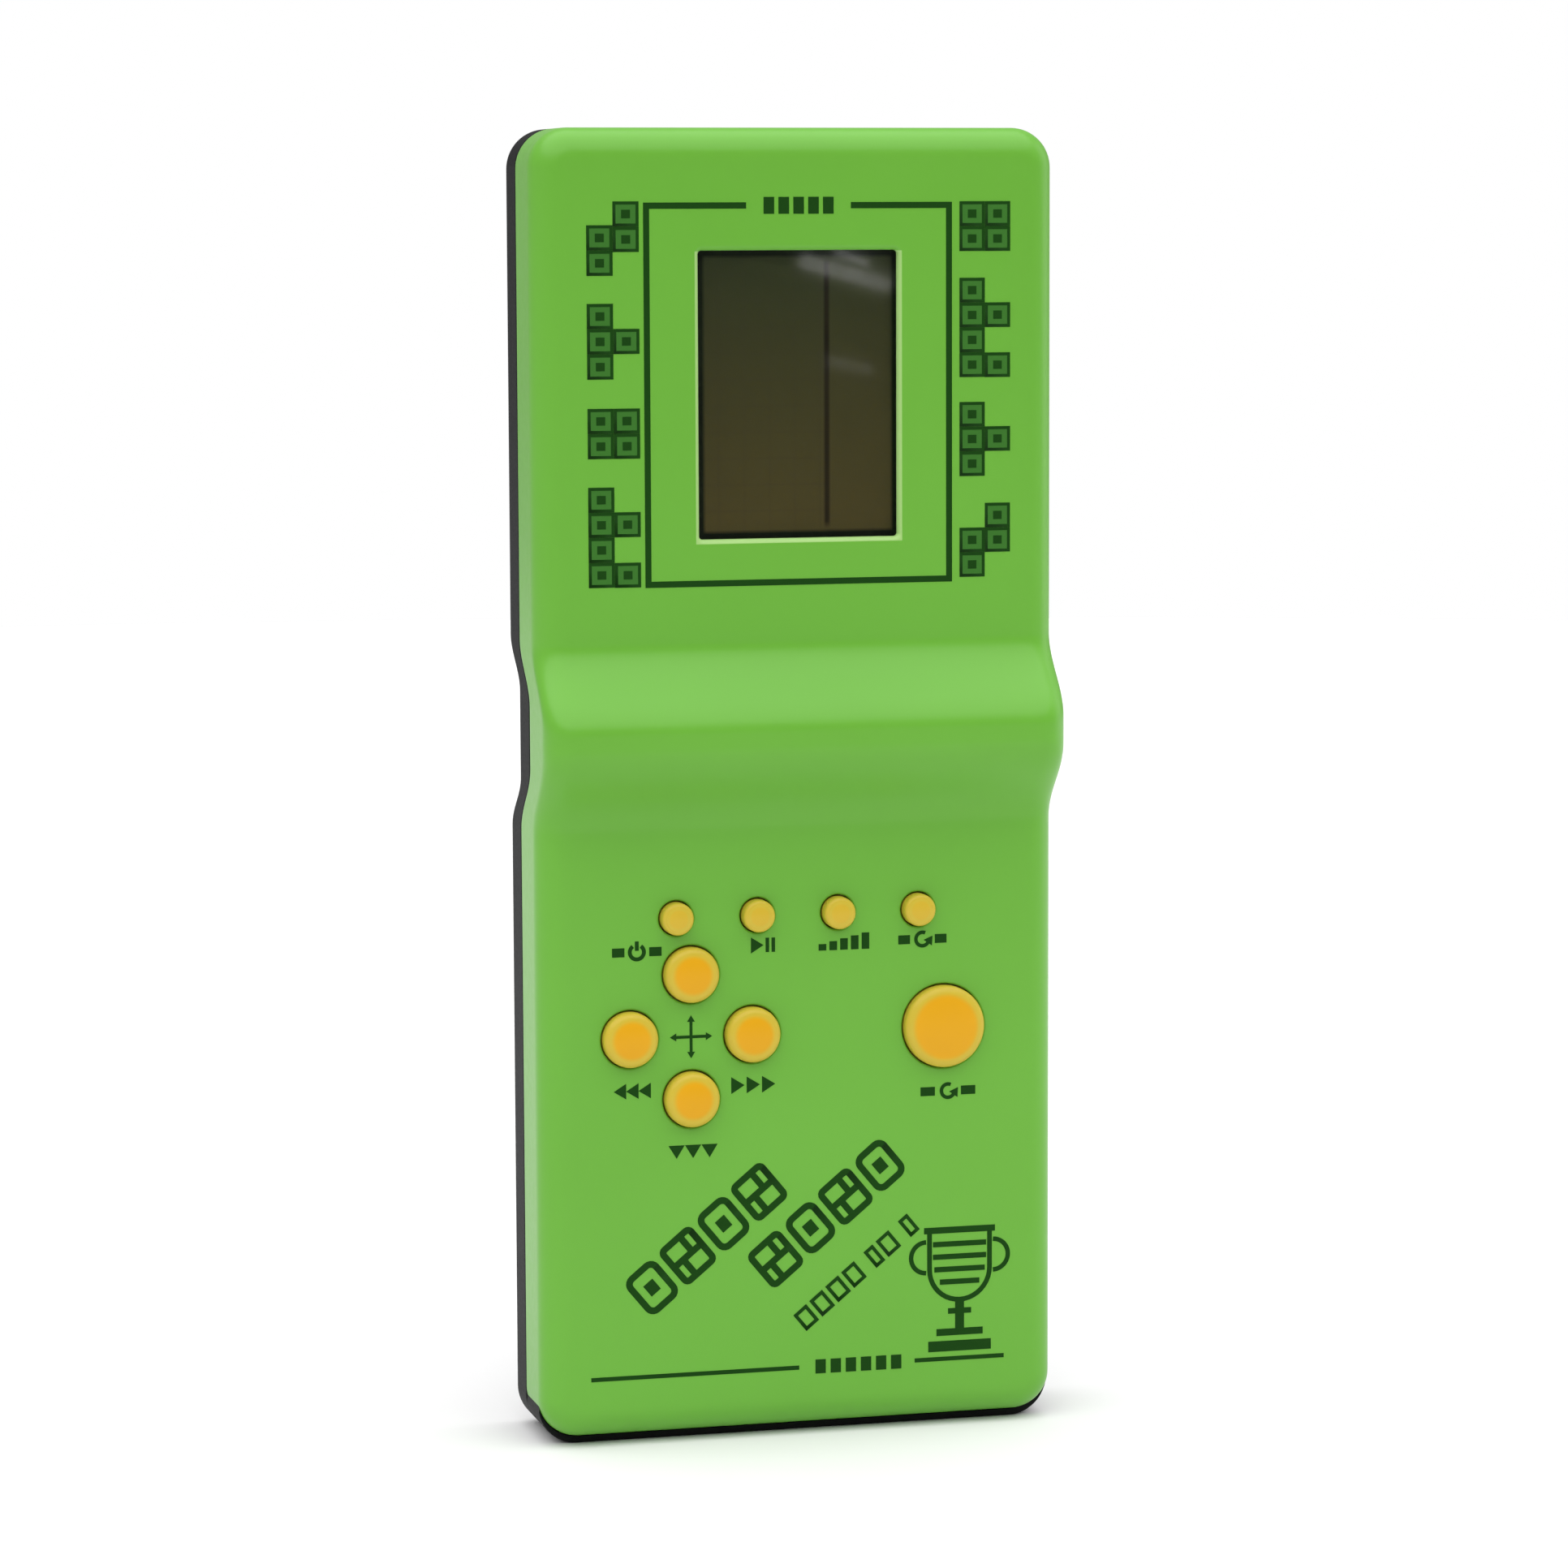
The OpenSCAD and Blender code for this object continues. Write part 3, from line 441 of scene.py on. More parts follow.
# Glossy ABS, injection moulded: an even saturated colour, soft broad highlights, the faintest orange peel. A
# painted highlight lies along the sides and the foot of the window opening.
GREEN_ABS = finish("green_moulded_abs", "6bb13a", "67ac36", 0.33, 1.2, 0.002, paint=window_opening_painted_highlight, IOR=1.53,
                   Specular_IOR_Level=0.3)
# Black ABS from a spark-eroded mould: a fine matt grain that breaks the light up.
BLACK_ABS = finish("black_textured_abs", "0e0f10", "131415", 0.55, 0.45, 0.008, IOR=1.53,
                   Specular_IOR_Level=0.1)
# Moulded polystyrene keys: warm orange, with a painted highlight, paler and yellower, towards the edge.
KEY_PS = finish("orange_moulded_polystyrene", "e3a60f", "dda00e", 0.32, 0.9, 0.002, drift=8.0, paint=key_edge_painted_highlight,
                IOR=1.59, Specular_IOR_Level=0.2)
# Screen-printed enamel ink: dark green, nearly flat, a little satin.
INK = finish("dark_green_screen_ink", "103c05", "134207", 0.55, 0.25, 0.001, IOR=1.5, Specular_IOR_Level=0.12)
# The same ink printed as a half tone, which lets the green below through.
INK_TINT = finish("half_tone_screen_ink", "366f26", "3a7429", 0.5, 0.25, 0.001, IOR=1.5,
                  Specular_IOR_Level=0.15)
# Liquid crystal behind a polariser: a dull olive sheet with a faint pattern of its resting cells.
DISPLAY_FILM = finish("display_polariser_film", "525c39", "4e5836", 0.4, 0.6, 0.0002, paint=display_cells,
                      IOR=1.5, Specular_IOR_Level=0.1)
# Float glass sheets of the display, clear with a green edge.
DISPLAY_GLASS = finish("float_display_glass", "5b6459", "626b5f", 0.08, 2.0, 0.001, IOR=1.52)
# Brushed foil reflector behind the glass: dull silver.
FOIL = finish("silver_reflector_foil", "b9bcbb", "a8abab", 0.35, 0.3, 0.003, metallic=1.0)
# White polystyrene display frame: plain, slightly waxy.
HOLDER_PS = finish("white_moulded_polystyrene", "d8d6cc", "d0cec3", 0.42, 0.8, 0.006, IOR=1.59)
# Amber polyimide ribbon with its printed carbon tracks.
RIBBON_FILM = finish("amber_polyimide_film", "b5731d", "8f5715", 0.3, 0.9, 0.006, drift=1.2, IOR=1.6)
# Silicone rubber, compression moulded: greyish white, soft and dull.
SILICONE = finish("grey_silicone_rubber", "bcbdb6", "b2b3ab", 0.62, 0.5, 0.01, Subsurface_Weight=0.1)
# Carbon-filled rubber pills: flat black.
CARBON = finish("carbon_filled_rubber", "151515", "1b1b1b", 0.75, 0.3, 0.01)
# Phenolic paper board under green lacquer, with copper tracks showing through.
BOARD = finish("lacquered_phenolic_board", "4f6a2a", "5a702c", 0.38, 0.5, 0.01, paint=copper_tracks, IOR=1.5)
# Gold-flashed copper pads: warm and bright.
GOLD = finish("gold_flashed_copper", "d9a441", "c79335", 0.28, 0.4, 0.002, metallic=1.0)
# Epoxy blob over the chip: black, pooled and shiny.
EPOXY = finish("black_pooled_epoxy", "0b0b0c", "101011", 0.16, 2.5, 0.03, Coat_Weight=0.5, IOR=1.55)
# Printed PVC sleeve of the capacitor.
SLEEVE = finish("blue_shrunk_pvc_sleeve", "1e2f6b", "22357a", 0.3, 0.7, 0.005, paint=can_stripe, IOR=1.54)
# Dipped ceramic: tan, thick and slightly lumpy.
DIPPED = finish("tan_dipped_ceramic", "b5773a", "a96d33", 0.35, 1.0, 0.03)
# Lacquered carbon film resistors.
RESISTOR = finish("banded_resistor_lacquer", "c9a877", "c2a06e", 0.35, 0.5, 0.006, paint=resistor_bands)
# Rolled brass disc of the sounder.
BRASS = finish("rolled_brass", "c9a24a", "b98f3b", 0.3, 0.35, 0.003, metallic=1.0)
# Fired silver on the sounder's ceramic face.
FIRED = finish("silvered_piezo_ceramic", "c9c6bb", "bfbbb0", 0.5, 0.25, 0.006, metallic=0.6)
# Extruded PVC wire insulation.
BLACK_WIRE = finish("black_pvc_insulation", "141416", "1b1b1d", 0.4, 0.5, 0.004, IOR=1.54)
RED_WIRE = finish("red_pvc_insulation", "a81d1a", "b3231f", 0.4, 0.5, 0.004, IOR=1.54)
# Nickel-plated spring steel of the battery contacts: bright, with drawing marks.
NICKEL = finish("nickel_plated_steel", "b9b6ad", "a5a29a", 0.25, 0.3, 0.004, metallic=1.0)
# Zinc-plated screws: a duller, bluish silver.
ZINC = finish("zinc_plated_steel", "a9adb2", "989ca1", 0.35, 0.25, 0.004, metallic=1.0)
# Printed film jacket of the AA cells, dark with a copper-coloured end.
JACKET = finish("cell_film_jacket", "1d1f24", "23252b", 0.3, 0.8, 0.003, paint=cell_label, IOR=1.5)


def clear_window(name):
    """Cast acrylic, polished on both faces. It passes what is behind it and reflects by Fresnel's law."""
    material = bpy.data.materials.new(name)
    material.use_nodes = True
    tree = material.node_tree
    tree.nodes.remove(tree.nodes["Principled BSDF"])
    place = node(tree, "ShaderNodeTexCoord", {}).outputs["Object"]
    wipe = node(tree, "ShaderNodeTexNoise", {"Vector": place, "Scale": 1 / (5.0 * MM), "Detail": 2.0})
    haze = node(tree, "ShaderNodeMapRange", {"Value": wipe.outputs["Fac"], "To Min": 0.015, "To Max": 0.05})
    clear = node(tree, "ShaderNodeBsdfTransparent", {"Color": (0.96, 0.96, 0.95, 1)})
    gloss = node(tree, "ShaderNodeBsdfAnisotropic",
                 {"Color": (1, 1, 1, 1), "Roughness": haze.outputs["Result"]})
    share = node(tree, "ShaderNodeFresnel", {"IOR": 1.49})
    mixed = node(tree, "ShaderNodeMixShader",
                 {0: share.outputs[0], 1: clear.outputs[0], 2: gloss.outputs[0]})
    tree.links.new(mixed.outputs[0], tree.nodes["Material Output"].inputs["Surface"])
    return material


ACRYLIC = clear_window("clear_polished_acrylic")

CAD_FINISHES = (
    (ACRYLIC, "window_lens"),
    (HOLDER_PS, "display_holder"),
    (DISPLAY_FILM, "front_polariser"),
    (DISPLAY_GLASS, "display_front_glass display_rear_glass"),
    (FOIL, "reflector"),
    (RIBBON_FILM, "display_ribbon"),
    (SILICONE, "rubber_mat"),
    (BOARD, "circuit_board"),
    (GOLD, "key_contacts"),
    (EPOXY, "controller_cap transistor"),
    (SLEEVE, "electrolytic_capacitor"),
    (DIPPED, "ceramic_capacitors"),
    (RESISTOR, "resistors"),
    (BRASS, "sounder_disc"),
    (FIRED, "sounder_ceramic"),
    (BLACK_WIRE, "sounder_wires battery_wire_negative"),
    (RED_WIRE, "battery_wire_positive"),
    (NICKEL, "bridge_contact positive_contact negative_contact contact_springs"),
    (JACKET, "battery_lower battery_upper"),
    (ZINC, "case_screws board_screws display_screws"),
    (CARBON, " ".join(f"{key}_pill" for key in KEYS)),
)
for material, names in CAD_FINISHES:
    for name in names.split():
        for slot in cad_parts[name].material_slots:
            slot.material = material

# ---- Case ----

POST = 3.0
CASE_BORE = 1.3
CASE_HEAD = 2.7
HEAD_FLOOR = 2.4
CASE_POSTS = [(side * x, z) for side in (-1, 1) for x, z in ((30.5, 174.5), (31.8, 117.5), (31.8, 43.5))]
BOARD_POSTS = [(-29.3, 76.5), (29.3, 76.5), (3.6, 48.5), (29.0, 51.0)]
DISPLAY_POSTS = [(x, WINDOW_Z + z) for x in (-21.05, 21.05) for z in (-18, 18)]
BOARD_POST, BOARD_BORE = 2.25, 1.05
DISPLAY_POST, DISPLAY_BORE = 2.05, 0.85
# How deep the screw bores go from the end of each post.
CASE_BORE_DEEP, BOARD_BORE_DEEP, DISPLAY_BORE_DEEP = 8.2, 3.3, 2.5
# Cutters run this far past the surface they open.
BEYOND = 1.5
# Quarter-round rims: round holes and the door's opening, the window, and the sound holes.
HOLE_EASE, WINDOW_EASE, SOUND_EASE = 0.3, 0.7, 0.2
# Extra rings beside each rounding and seam, which keep the flat stretches next to them flat.
HOLD_FAR, HOLD_NEAR, HOLD_SIDE, HOLD_SEAM = 1.0, 0.3, 0.6, 0.5
SEAT_PLAY = 0.05


def eased_hole(radius, depth_in, surface, outwards, ease_by):
    """Profile of a round cutter from inside a wall out past its surface, flaring by a quarter circle at
    the rim."""
    a = np.linspace(0, math.pi / 2, 6)
    flare = [(ease_by * (1 - math.cos(t)), surface - outwards * ease_by * (1 - math.sin(t))) for t in a]
    return [(0, depth_in), *flare, (ease_by, surface + outwards * BEYOND)]


def front_shell():
    """Rings from the face over its rounded edge to the seam, then back along the lip to the inner wall."""
    round_off = quarter(FRONT_ROUND, (FRONT_ROUND, FACE), (-1, 0), (0, 1), 12)
    seam = quarter(SEAM_EASE, (0, SEAM - SEAM_EASE), (0, 1), (1, 0), 4)
    lip_y = SEAM - LIP - LIP_PLAY
    shell = skin([case_rings(lifted([
        (FRONT_ROUND + HOLD_FAR, FACE), (FRONT_ROUND + HOLD_NEAR, FACE), *round_off,
        (0, FACE + FRONT_ROUND + HOLD_SIDE), (0, SEAM - SEAM_EASE - HOLD_SEAM), *seam,
        (WALL / 2, SEAM), (WALL / 2, lip_y), (WALL, lip_y), (WALL, FRONT_IN),
    ], SOLE))], strips=True)
    inner = FRONT_IN - WALL / 2
    posts = [
        disc_stack(x, z, radius, [(0, inner), (0, end)])
        for places, radius, end in (
            (CASE_POSTS, POST, SEAM), (BOARD_POSTS, BOARD_POST, BOARD_Y),
            (DISPLAY_POSTS, DISPLAY_POST, HOLDER_Y),
        ) for x, z in places
    ]
    cuts = []
    for key in KEYS:
        x, _, z = middle(f"{key}_button")
        hole = key_radius(key) + KEY_PLAY
        rim = eased_hole(0, FRONT_IN + 1, FACE, -1, HOLE_EASE)
        cuts.append(disc_stack(x, z, hole, rim, steps=24))
    window = [(0, FRONT_IN + 1), *eased_hole(0, FACE + RIM, FACE, -1, WINDOW_EASE)[1:]]
    opening = ring_stack(WINDOW_HALF_W, WINDOW_HALF_H, WINDOW_CORNER, window, 6)
    cuts.append(into_case(opening, 0, WINDOW_Z))
    lens_low, lens_high = span("window_lens")
    seat = block(lens_low - (SEAT_PLAY, 0, SEAT_PLAY),
                 (lens_high[0] + SEAT_PLAY, FRONT_IN + 1, lens_high[2] + SEAT_PLAY))
    bores = [
        disc_stack(x, z, bore, [(0, end + 1), (0, end - deep)])
        for places, bore, end, deep in (
            (CASE_POSTS, CASE_BORE, SEAM, CASE_BORE_DEEP),
            (BOARD_POSTS, BOARD_BORE, BOARD_Y, BOARD_BORE_DEEP),
            (DISPLAY_POSTS, DISPLAY_BORE, HOLDER_Y, DISPLAY_BORE_DEEP),
        ) for x, z in places
    ]
    return carve(shell, [
        ("UNION", skin(posts)), ("DIFFERENCE", skin(cuts + bores)), ("DIFFERENCE", skin([seat])),
    ])


def key_radius(key):
    """Radius of a key's cap: its foot's flange is a little wider."""
    low, high = span(f"{key}_button")
    return (high[0] - low[0]) / 2 - KEY_FLANGE


BAY_HALF = 29.15
BAY_WALL, BAY_FLOOR = 1.2, 1.1
BAY_Z0, BAY_Z1 = 6.4, 36.7
CELL_Y = middle("battery_lower")[1]
CELL_R = 7.25
BAY_Y = CELL_Y - CELL_R - 0.15
DOOR_Y = REAR - 1.5
DOOR_LEDGE = 1.05
DOOR_PLAY = 0.2
BEAD = 1.2
PIN = 0.6
PIN_L = 1.4
DOOR_HALF = BAY_HALF + DOOR_LEDGE - DOOR_PLAY
HINGE_Y = REAR - BEAD
HINGE_Z = BAY_Z0 - DOOR_LEDGE + DOOR_PLAY + BEAD
DOOR_TOP = BAY_Z1 + DOOR_LEDGE - DOOR_PLAY
SOUNDER_Z = middle("sounder_disc")[2]
# The sounder's ring seat: middle radius, half its wall, and its depth.
SEAT_R, SEAT_HALF_T, SEAT_DEEP = 10.0, 0.8, 2.9
SOUND_R, SOUND_RING = 0.8, 5.0
# Half sizes of the slots that hold the contacts' tails.
TAIL_HALF_W, TAIL_HALF_T = 1.7, 0.4
# The thumb scoop above the door: part of a ball, its centre out behind the case.
SCOOP_R, SCOOP_OUT = 6.0, 5.2
CATCH_HALF_W = 4.0
GROOVE_HALF_L, GROOVE_PITCH, GROOVES = 7.0, 2.2, 4


def sole():
    """The strip of the rear cover under the front cover. It follows the base and turns up round the
    corners, as thick upright everywhere, so it thins out to the sides. Its section is an oblong with its
    front edges chamfered."""
    inset, chamfer = 0.02, 0.2
    turn = np.radians(np.linspace(0, 78, 14))
    radius = CORNER - inset
    x = HALF_W - CORNER + radius * np.sin(turn)
    z = CORNER - radius * np.cos(turn)
    x, z = np.concatenate([-x[::-1], x]), np.concatenate([z[::-1], z])
    front, top = FACE + FRONT_ROUND, SOLE - SEAM_GAP - inset
    section = [
        (front + chamfer, 0), (front, chamfer), (front, top - chamfer), (front + chamfer, top),
        (SEAM + 1, top), (SEAM + 1, 0),
    ]
    return np.stack([np.column_stack([x, np.full(len(x), y), z + up]) for y, up in section], axis=1)


def rear_shell():
    """Rings from the back over its rounded edge to the seam, then inside the lip to the inner wall."""
    round_off = quarter(REAR_ROUND, (REAR_ROUND, REAR), (-1, 0), (0, -1), 10)
    edge = SEAM + SEAM_GAP
    seam = quarter(SEAM_EASE, (0, edge + SEAM_EASE), (0, -1), (1, 0), 4)
    lip = WALL / 2 + LIP_PLAY
    outer = [
        (REAR_ROUND + HOLD_FAR, REAR), (REAR_ROUND + HOLD_NEAR, REAR), *round_off,
        (0, REAR - REAR_ROUND - HOLD_SIDE), (0, edge + SEAM_EASE + HOLD_SEAM), *seam,
    ]
    inner = [(lip, edge), (lip, SEAM - LIP), (WALL, SEAM - LIP), (WALL, REAR_IN)]
    shell = skin([case_rings(np.concatenate([lifted(outer, 0), lifted(inner, SOLE)]))], strips=True)
    in_wall = REAR_IN + WALL / 2
    bay = block((-BAY_HALF - BAY_WALL, BAY_Y - BAY_FLOOR, BAY_Z0 - BAY_WALL),
                (BAY_HALF + BAY_WALL, in_wall, BAY_Z1 + BAY_WALL))
    posts = [disc_stack(x, z, POST, [(0, edge), (0, in_wall)]) for x, z in CASE_POSTS]
    seat_out = disc_stack(0, SOUNDER_Z, SEAT_R + SEAT_HALF_T, [(0, REAR_IN - SEAT_DEEP), (0, in_wall)], 24)
    seat_in = disc_stack(0, SOUNDER_Z, SEAT_R - SEAT_HALF_T, [(0, REAR_IN - 4), (0, REAR_IN)], 24)
    opening_half = DOOR_HALF + DOOR_PLAY
    opening_z = (BAY_Z0 + BAY_Z1) / 2
    opening_half_z = (BAY_Z1 - BAY_Z0) / 2 + DOOR_LEDGE
    hollow = block((-BAY_HALF, BAY_Y, BAY_Z0), (BAY_HALF, REAR + 1, BAY_Z1))
    rim = eased_hole(0, DOOR_Y, REAR, 1, HOLE_EASE)
    opening = into_case(ring_stack(opening_half, opening_half_z, 0.3, rim, 5), 0, opening_z)
    knuckle = rod(HINGE_Y, HINGE_Z, BEAD + 0.15, -opening_half, opening_half)
    pins = rod(HINGE_Y, HINGE_Z, PIN + 0.05, -opening_half - PIN_L, opening_half + PIN_L)
    slots = [
        block((BAY_HALF - 1, CELL_Y - TAIL_HALF_W, z - TAIL_HALF_T),
              (BAY_HALF + 2.2, CELL_Y + TAIL_HALF_W, z + TAIL_HALF_T), 0.02)
        for z in (middle("battery_lower")[2], middle("battery_upper")[2])
    ]
    head = eased_hole(0, edge + HEAD_FLOOR, REAR, 1, HOLE_EASE)
    heads = [disc_stack(x, z, CASE_HEAD, head, 12) for x, z in CASE_POSTS]
    bores = [disc_stack(x, z, CASE_BORE, [(0, SEAM - 1), (0, REAR)]) for x, z in CASE_POSTS]
    turn = np.arange(6) * math.pi / 3
    holes = [(SOUND_RING * math.cos(a), SOUNDER_Z + SOUND_RING * math.sin(a)) for a in turn]
    hole = eased_hole(0, REAR_IN - 1, REAR, 1, SOUND_EASE)
    sound = [disc_stack(x, z, SOUND_R, hole, 6) for x, z in holes + [(0, SOUNDER_Z)]]
    scoop_turn = np.linspace(0.02, math.pi - 0.02, 25)
    ball = [(SCOOP_R * math.sin(t) - SCOOP_R, REAR + SCOOP_OUT - SCOOP_R * math.cos(t)) for t in scoop_turn]
    scoop = disc_stack(0, BAY_Z1 + DOOR_LEDGE + 0.5, SCOOP_R, ball, 12)
    cuts = ([seat_in], [hollow], [opening], [knuckle], [pins], slots + heads + sound, bores + [scoop])
    solid = skin([bay, sole()] + posts + [seat_out])
    return carve(shell, [("UNION", solid)] + [("DIFFERENCE", skin(cut)) for cut in cuts])


def battery_door():
    """A section through the door, carried across the case: a flat panel with a round bead at its hinge
    edge. Its two ends are rounded by drawing the section in towards its centre."""
    low = math.acos((DOOR_Y - HINGE_Y) / BEAD)
    around = np.linspace(2 * math.pi, low, 25)
    bead = np.stack([HINGE_Y + BEAD * np.cos(around), HINGE_Z + BEAD * np.sin(around)], axis=-1)[:-1]
    chamfer, rounding, bevel = 0.3, 0.4, 0.25
    inner = [
        (DOOR_Y, HINGE_Z + BEAD * math.sin(low)), (DOOR_Y, DOOR_TOP - chamfer), (DOOR_Y + chamfer, DOOR_TOP),
    ]
    corner = np.array(quarter(rounding, (REAR - rounding, DOOR_TOP), (1, 0), (0, -1), 5))
    section = np.concatenate([bead, inner, corner])
    centre = np.array([(DOOR_Y + REAR) / 2, (HINGE_Z + DOOR_TOP) / 2])
    half = np.array([(REAR - DOOR_Y) / 2, (DOOR_TOP - HINGE_Z) / 2 + BEAD])
    ends = sorted((s * (DOOR_HALF - bevel * (1 - math.sin(t))), bevel * (1 - math.cos(t)))
                  for s in (-1, 1) for t in np.linspace(math.pi / 2, 0, 4))
    rings = np.stack([
        np.column_stack([np.full(len(section), x), centre + (section - centre) * (1 - inset / half)])
        for x, inset in ends
    ])
    pins = rod(HINGE_Y, HINGE_Z, PIN, -DOOR_HALF - PIN_L, DOOR_HALF + PIN_L)
    catch = block((-CATCH_HALF_W, DOOR_Y - 2.5, BAY_Z1 - 1.8),
                  (CATCH_HALF_W, DOOR_Y + 0.75, BAY_Z1 - 0.8), 0.2)
    taper = [(-0.2, -GROOVE_HALF_L), (0, -6.8), (0, 6.8), (-0.2, GROOVE_HALF_L)]
    groove = ring_stack(0.45, 0.5, 0.3, taper, 5)
    grooves = [across_case(groove, REAR, DOOR_TOP - 3.5 - GROOVE_PITCH * i) for i in range(GROOVES)]
    return carve(skin([rings]), [
        ("UNION", skin([pins])), ("UNION", skin([catch])), ("DIFFERENCE", skin(grooves)),
    ])


shown_front = keep_flats_level(piece("front_cover", front_shell(), GREEN_ABS))
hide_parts("front_shell")
shown_rear = keep_flats_level(piece("rear_cover", rear_shell(), BLACK_ABS))
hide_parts("rear_shell")
shown_door = keep_flats_level(piece("battery_cover", battery_door(), BLACK_ABS, "battery_door"))
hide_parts("battery_door")

# ---- Keys and their rubber domes ----

KEY_EDGE_W = 0.25
# The painted highlight on a key: full within the first distance of its edge, fading to nothing over the
# second.
RIM_PALE, RIM_FADE = 0.75, 0.9
# A key narrower than this carries the painted highlight by this share even in its middle.
SMALL_KEY_R, SMALL_KEY_HIGHLIGHT = 3.4, 0.75
KEY_CROWN = 0.25
KEY_EDGE_MAX = 0.9
FLANGE_T = 1.0
# Keys and domes are turned about an axis, round a hole too small to see.
AXIS_R = 0.02
DOME_FOOT = 0.8
DOME_TOP_SHARE, PILL_SHARE, PILL_PLAY = 0.72, 0.48, 0.2


def keycap(key):
    """A profile turned about the key's axis: flange, straight side, a broad rounded edge, a slight crown.
    Returns the rings and how much painted highlight each carries, from 0 in the middle to 1 near the edge."""
    low, high = span(f"{key}_button")
    x, _, z = (low + high) / 2
    r = key_radius(key)
    edge = KEY_EDGE_W * r
    drop = min(edge, KEY_EDGE_MAX)
    a = np.linspace(0, math.pi / 2, 13)
    shoulder = high[1] - FLANGE_T
    side = [(0, high[1]), (r + KEY_FLANGE, high[1]), (r + KEY_FLANGE, shoulder), (r, shoulder)]
    rounded = [(r - edge * (1 - math.cos(t)), low[1] + KEY_CROWN + drop * (1 - math.sin(t))) for t in a]
    inner = np.linspace(1, 0, 17)[1:]
    crown = [((r - edge) * u, low[1] + KEY_CROWN * u * u) for u in inner]
    profile = np.array(side + rounded + crown)
    profile[[0, -1], 0] = AXIS_R
    # Painted highlight: full near the edge, and a share of it over all of a small key.
    painted_highlight_share = ease(1 - (r - profile[:, 0] - RIM_PALE) / RIM_FADE)
    painted_highlight_share = np.maximum(painted_highlight_share, SMALL_KEY_HIGHLIGHT * ease((SMALL_KEY_R - r) / RIM_FADE))
    profile[:, 0] -= r
    rings = disc_stack(x, z, r, profile, steps=24)
    return rings, painted_highlight_share


def dome_rings(key):
    """A hollow rubber cone turned about the key's axis: wide foot, narrow top, room inside for the pill."""
    low, high = span(f"{key}_dome")
    x, _, z = (low + high) / 2
    foot = (high[0] - low[0]) / 2
    r = foot - DOME_FOOT
    top, pill = DOME_TOP_SHARE * r, PILL_SHARE * r + PILL_PLAY
    half = (low[1] + high[1]) / 2
    under = span(f"{key}_pill")[0][1]
    profile = [
        (AXIS_R, low[1]), (top - 0.25, low[1]), (top - 0.07, low[1] + 0.07), (top, low[1] + 0.25),
        (top, half), (foot, high[1]), (foot - 0.5, high[1]), (pill, under), (AXIS_R, under),
    ]
    return disc_stack(x, z, r, [(p - r, y) for p, y in profile], steps=12), high[1]


for key in KEYS:
    rings, painted_highlight_share = keycap(key)
    mesh = skin([rings])
    x, _, z = middle(f"{key}_button")
    co = np.zeros(len(mesh.vertices) * 3)
    mesh.vertices.foreach_get("co", co)
    co = co.reshape(-1, 3) / MM
    ring_y, ring_r = rings[:, 0, 1], np.hypot(rings[:, 0, 0] - x, rings[:, 0, 2] - z)
    r = np.hypot(co[:, 0] - x, co[:, 2] - z)
    nearest = np.argmin(np.abs(co[:, 1, None] - ring_y) + np.abs(r[:, None] - ring_r), axis=1)
    # Each point's share of painted highlight, kept in its rim attribute.
    rim = mesh.attributes.new("rim", "FLOAT", "POINT")
    rim.data.foreach_set("value", painted_highlight_share[nearest].astype(np.float32))
    cap = piece(f"{key}_keycap", mesh, KEY_PS, f"{key}_key", smooth=40)
    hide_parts(f"{key}_button")
    rings, foot_y = dome_rings(key)
    rubber = piece(f"{key}_rubber_dome", skin([rings]), SILICONE)
    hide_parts(f"{key}_dome")
    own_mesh(rubber)

# ---- Prints: thin closed solids of ink on the face ----

# How far the ink stands out of the face and reaches into it, and the hair between overlapping shapes.
INK_OUT, INK_IN = 0.03, 0.02
INK_STEP, INK_LEVELS = 0.002, 9


def ribbon(path, width, closed=False):
    """A flat stroke along a path of x and z: two edges half a width to either side, mitred at the bends,
    between just inside the face and just proud of it."""
    path = np.array(path, float)
    ahead = np.roll(path, -1, axis=0) - path
    behind = path - np.roll(path, 1, axis=0)
    if not closed:
        ahead[-1], behind[0] = behind[-1], ahead[0]
    ahead /= np.linalg.norm(ahead, axis=1, keepdims=True)
    behind /= np.linalg.norm(behind, axis=1, keepdims=True)
    normal = np.stack([-ahead[:, 1] - behind[:, 1], ahead[:, 0] + behind[:, 0]], axis=1)
    length = np.linalg.norm(normal, axis=1, keepdims=True)
    normal *= 2 / np.maximum(length, 1.0) ** 2
    left, right = path + normal * width / 2, path - normal * width / 2
    proud = FACE - INK_OUT
    corners = [(left, proud), (right, proud), (right, FACE + INK_IN), (left, FACE + INK_IN)]
    rings = np.stack([np.column_stack([p[:, 0], np.full(len(p), y), p[:, 1]]) for p, y in corners], axis=1)
    return np.concatenate([rings, rings[:1]]) if closed else rings


def plate(outline, proud=INK_OUT):
    """A flat shape filled inside a convex outline of x and z."""
    outline = np.array(outline, float)
    return np.stack([np.column_stack([outline[:, 0], np.full(len(outline), y), outline[:, 1]])
                     for y in (FACE - proud, FACE + INK_IN)])


def bar(x0, x1, z, height, proud=INK_OUT):
    """A filled oblong from x0 to x1 about a level z."""
    low, high = z - height / 2, z + height / 2
    return plate([(x0, low), (x1, low), (x1, high), (x0, high)], proud)


def arc(x, z, radius, start, end, steps=24):
    """Points along part of a circle, its angles in degrees."""
    a = np.radians(np.linspace(start, end, steps + 1))
    return np.stack([x + radius * np.cos(a), z + radius * np.sin(a)], axis=-1)


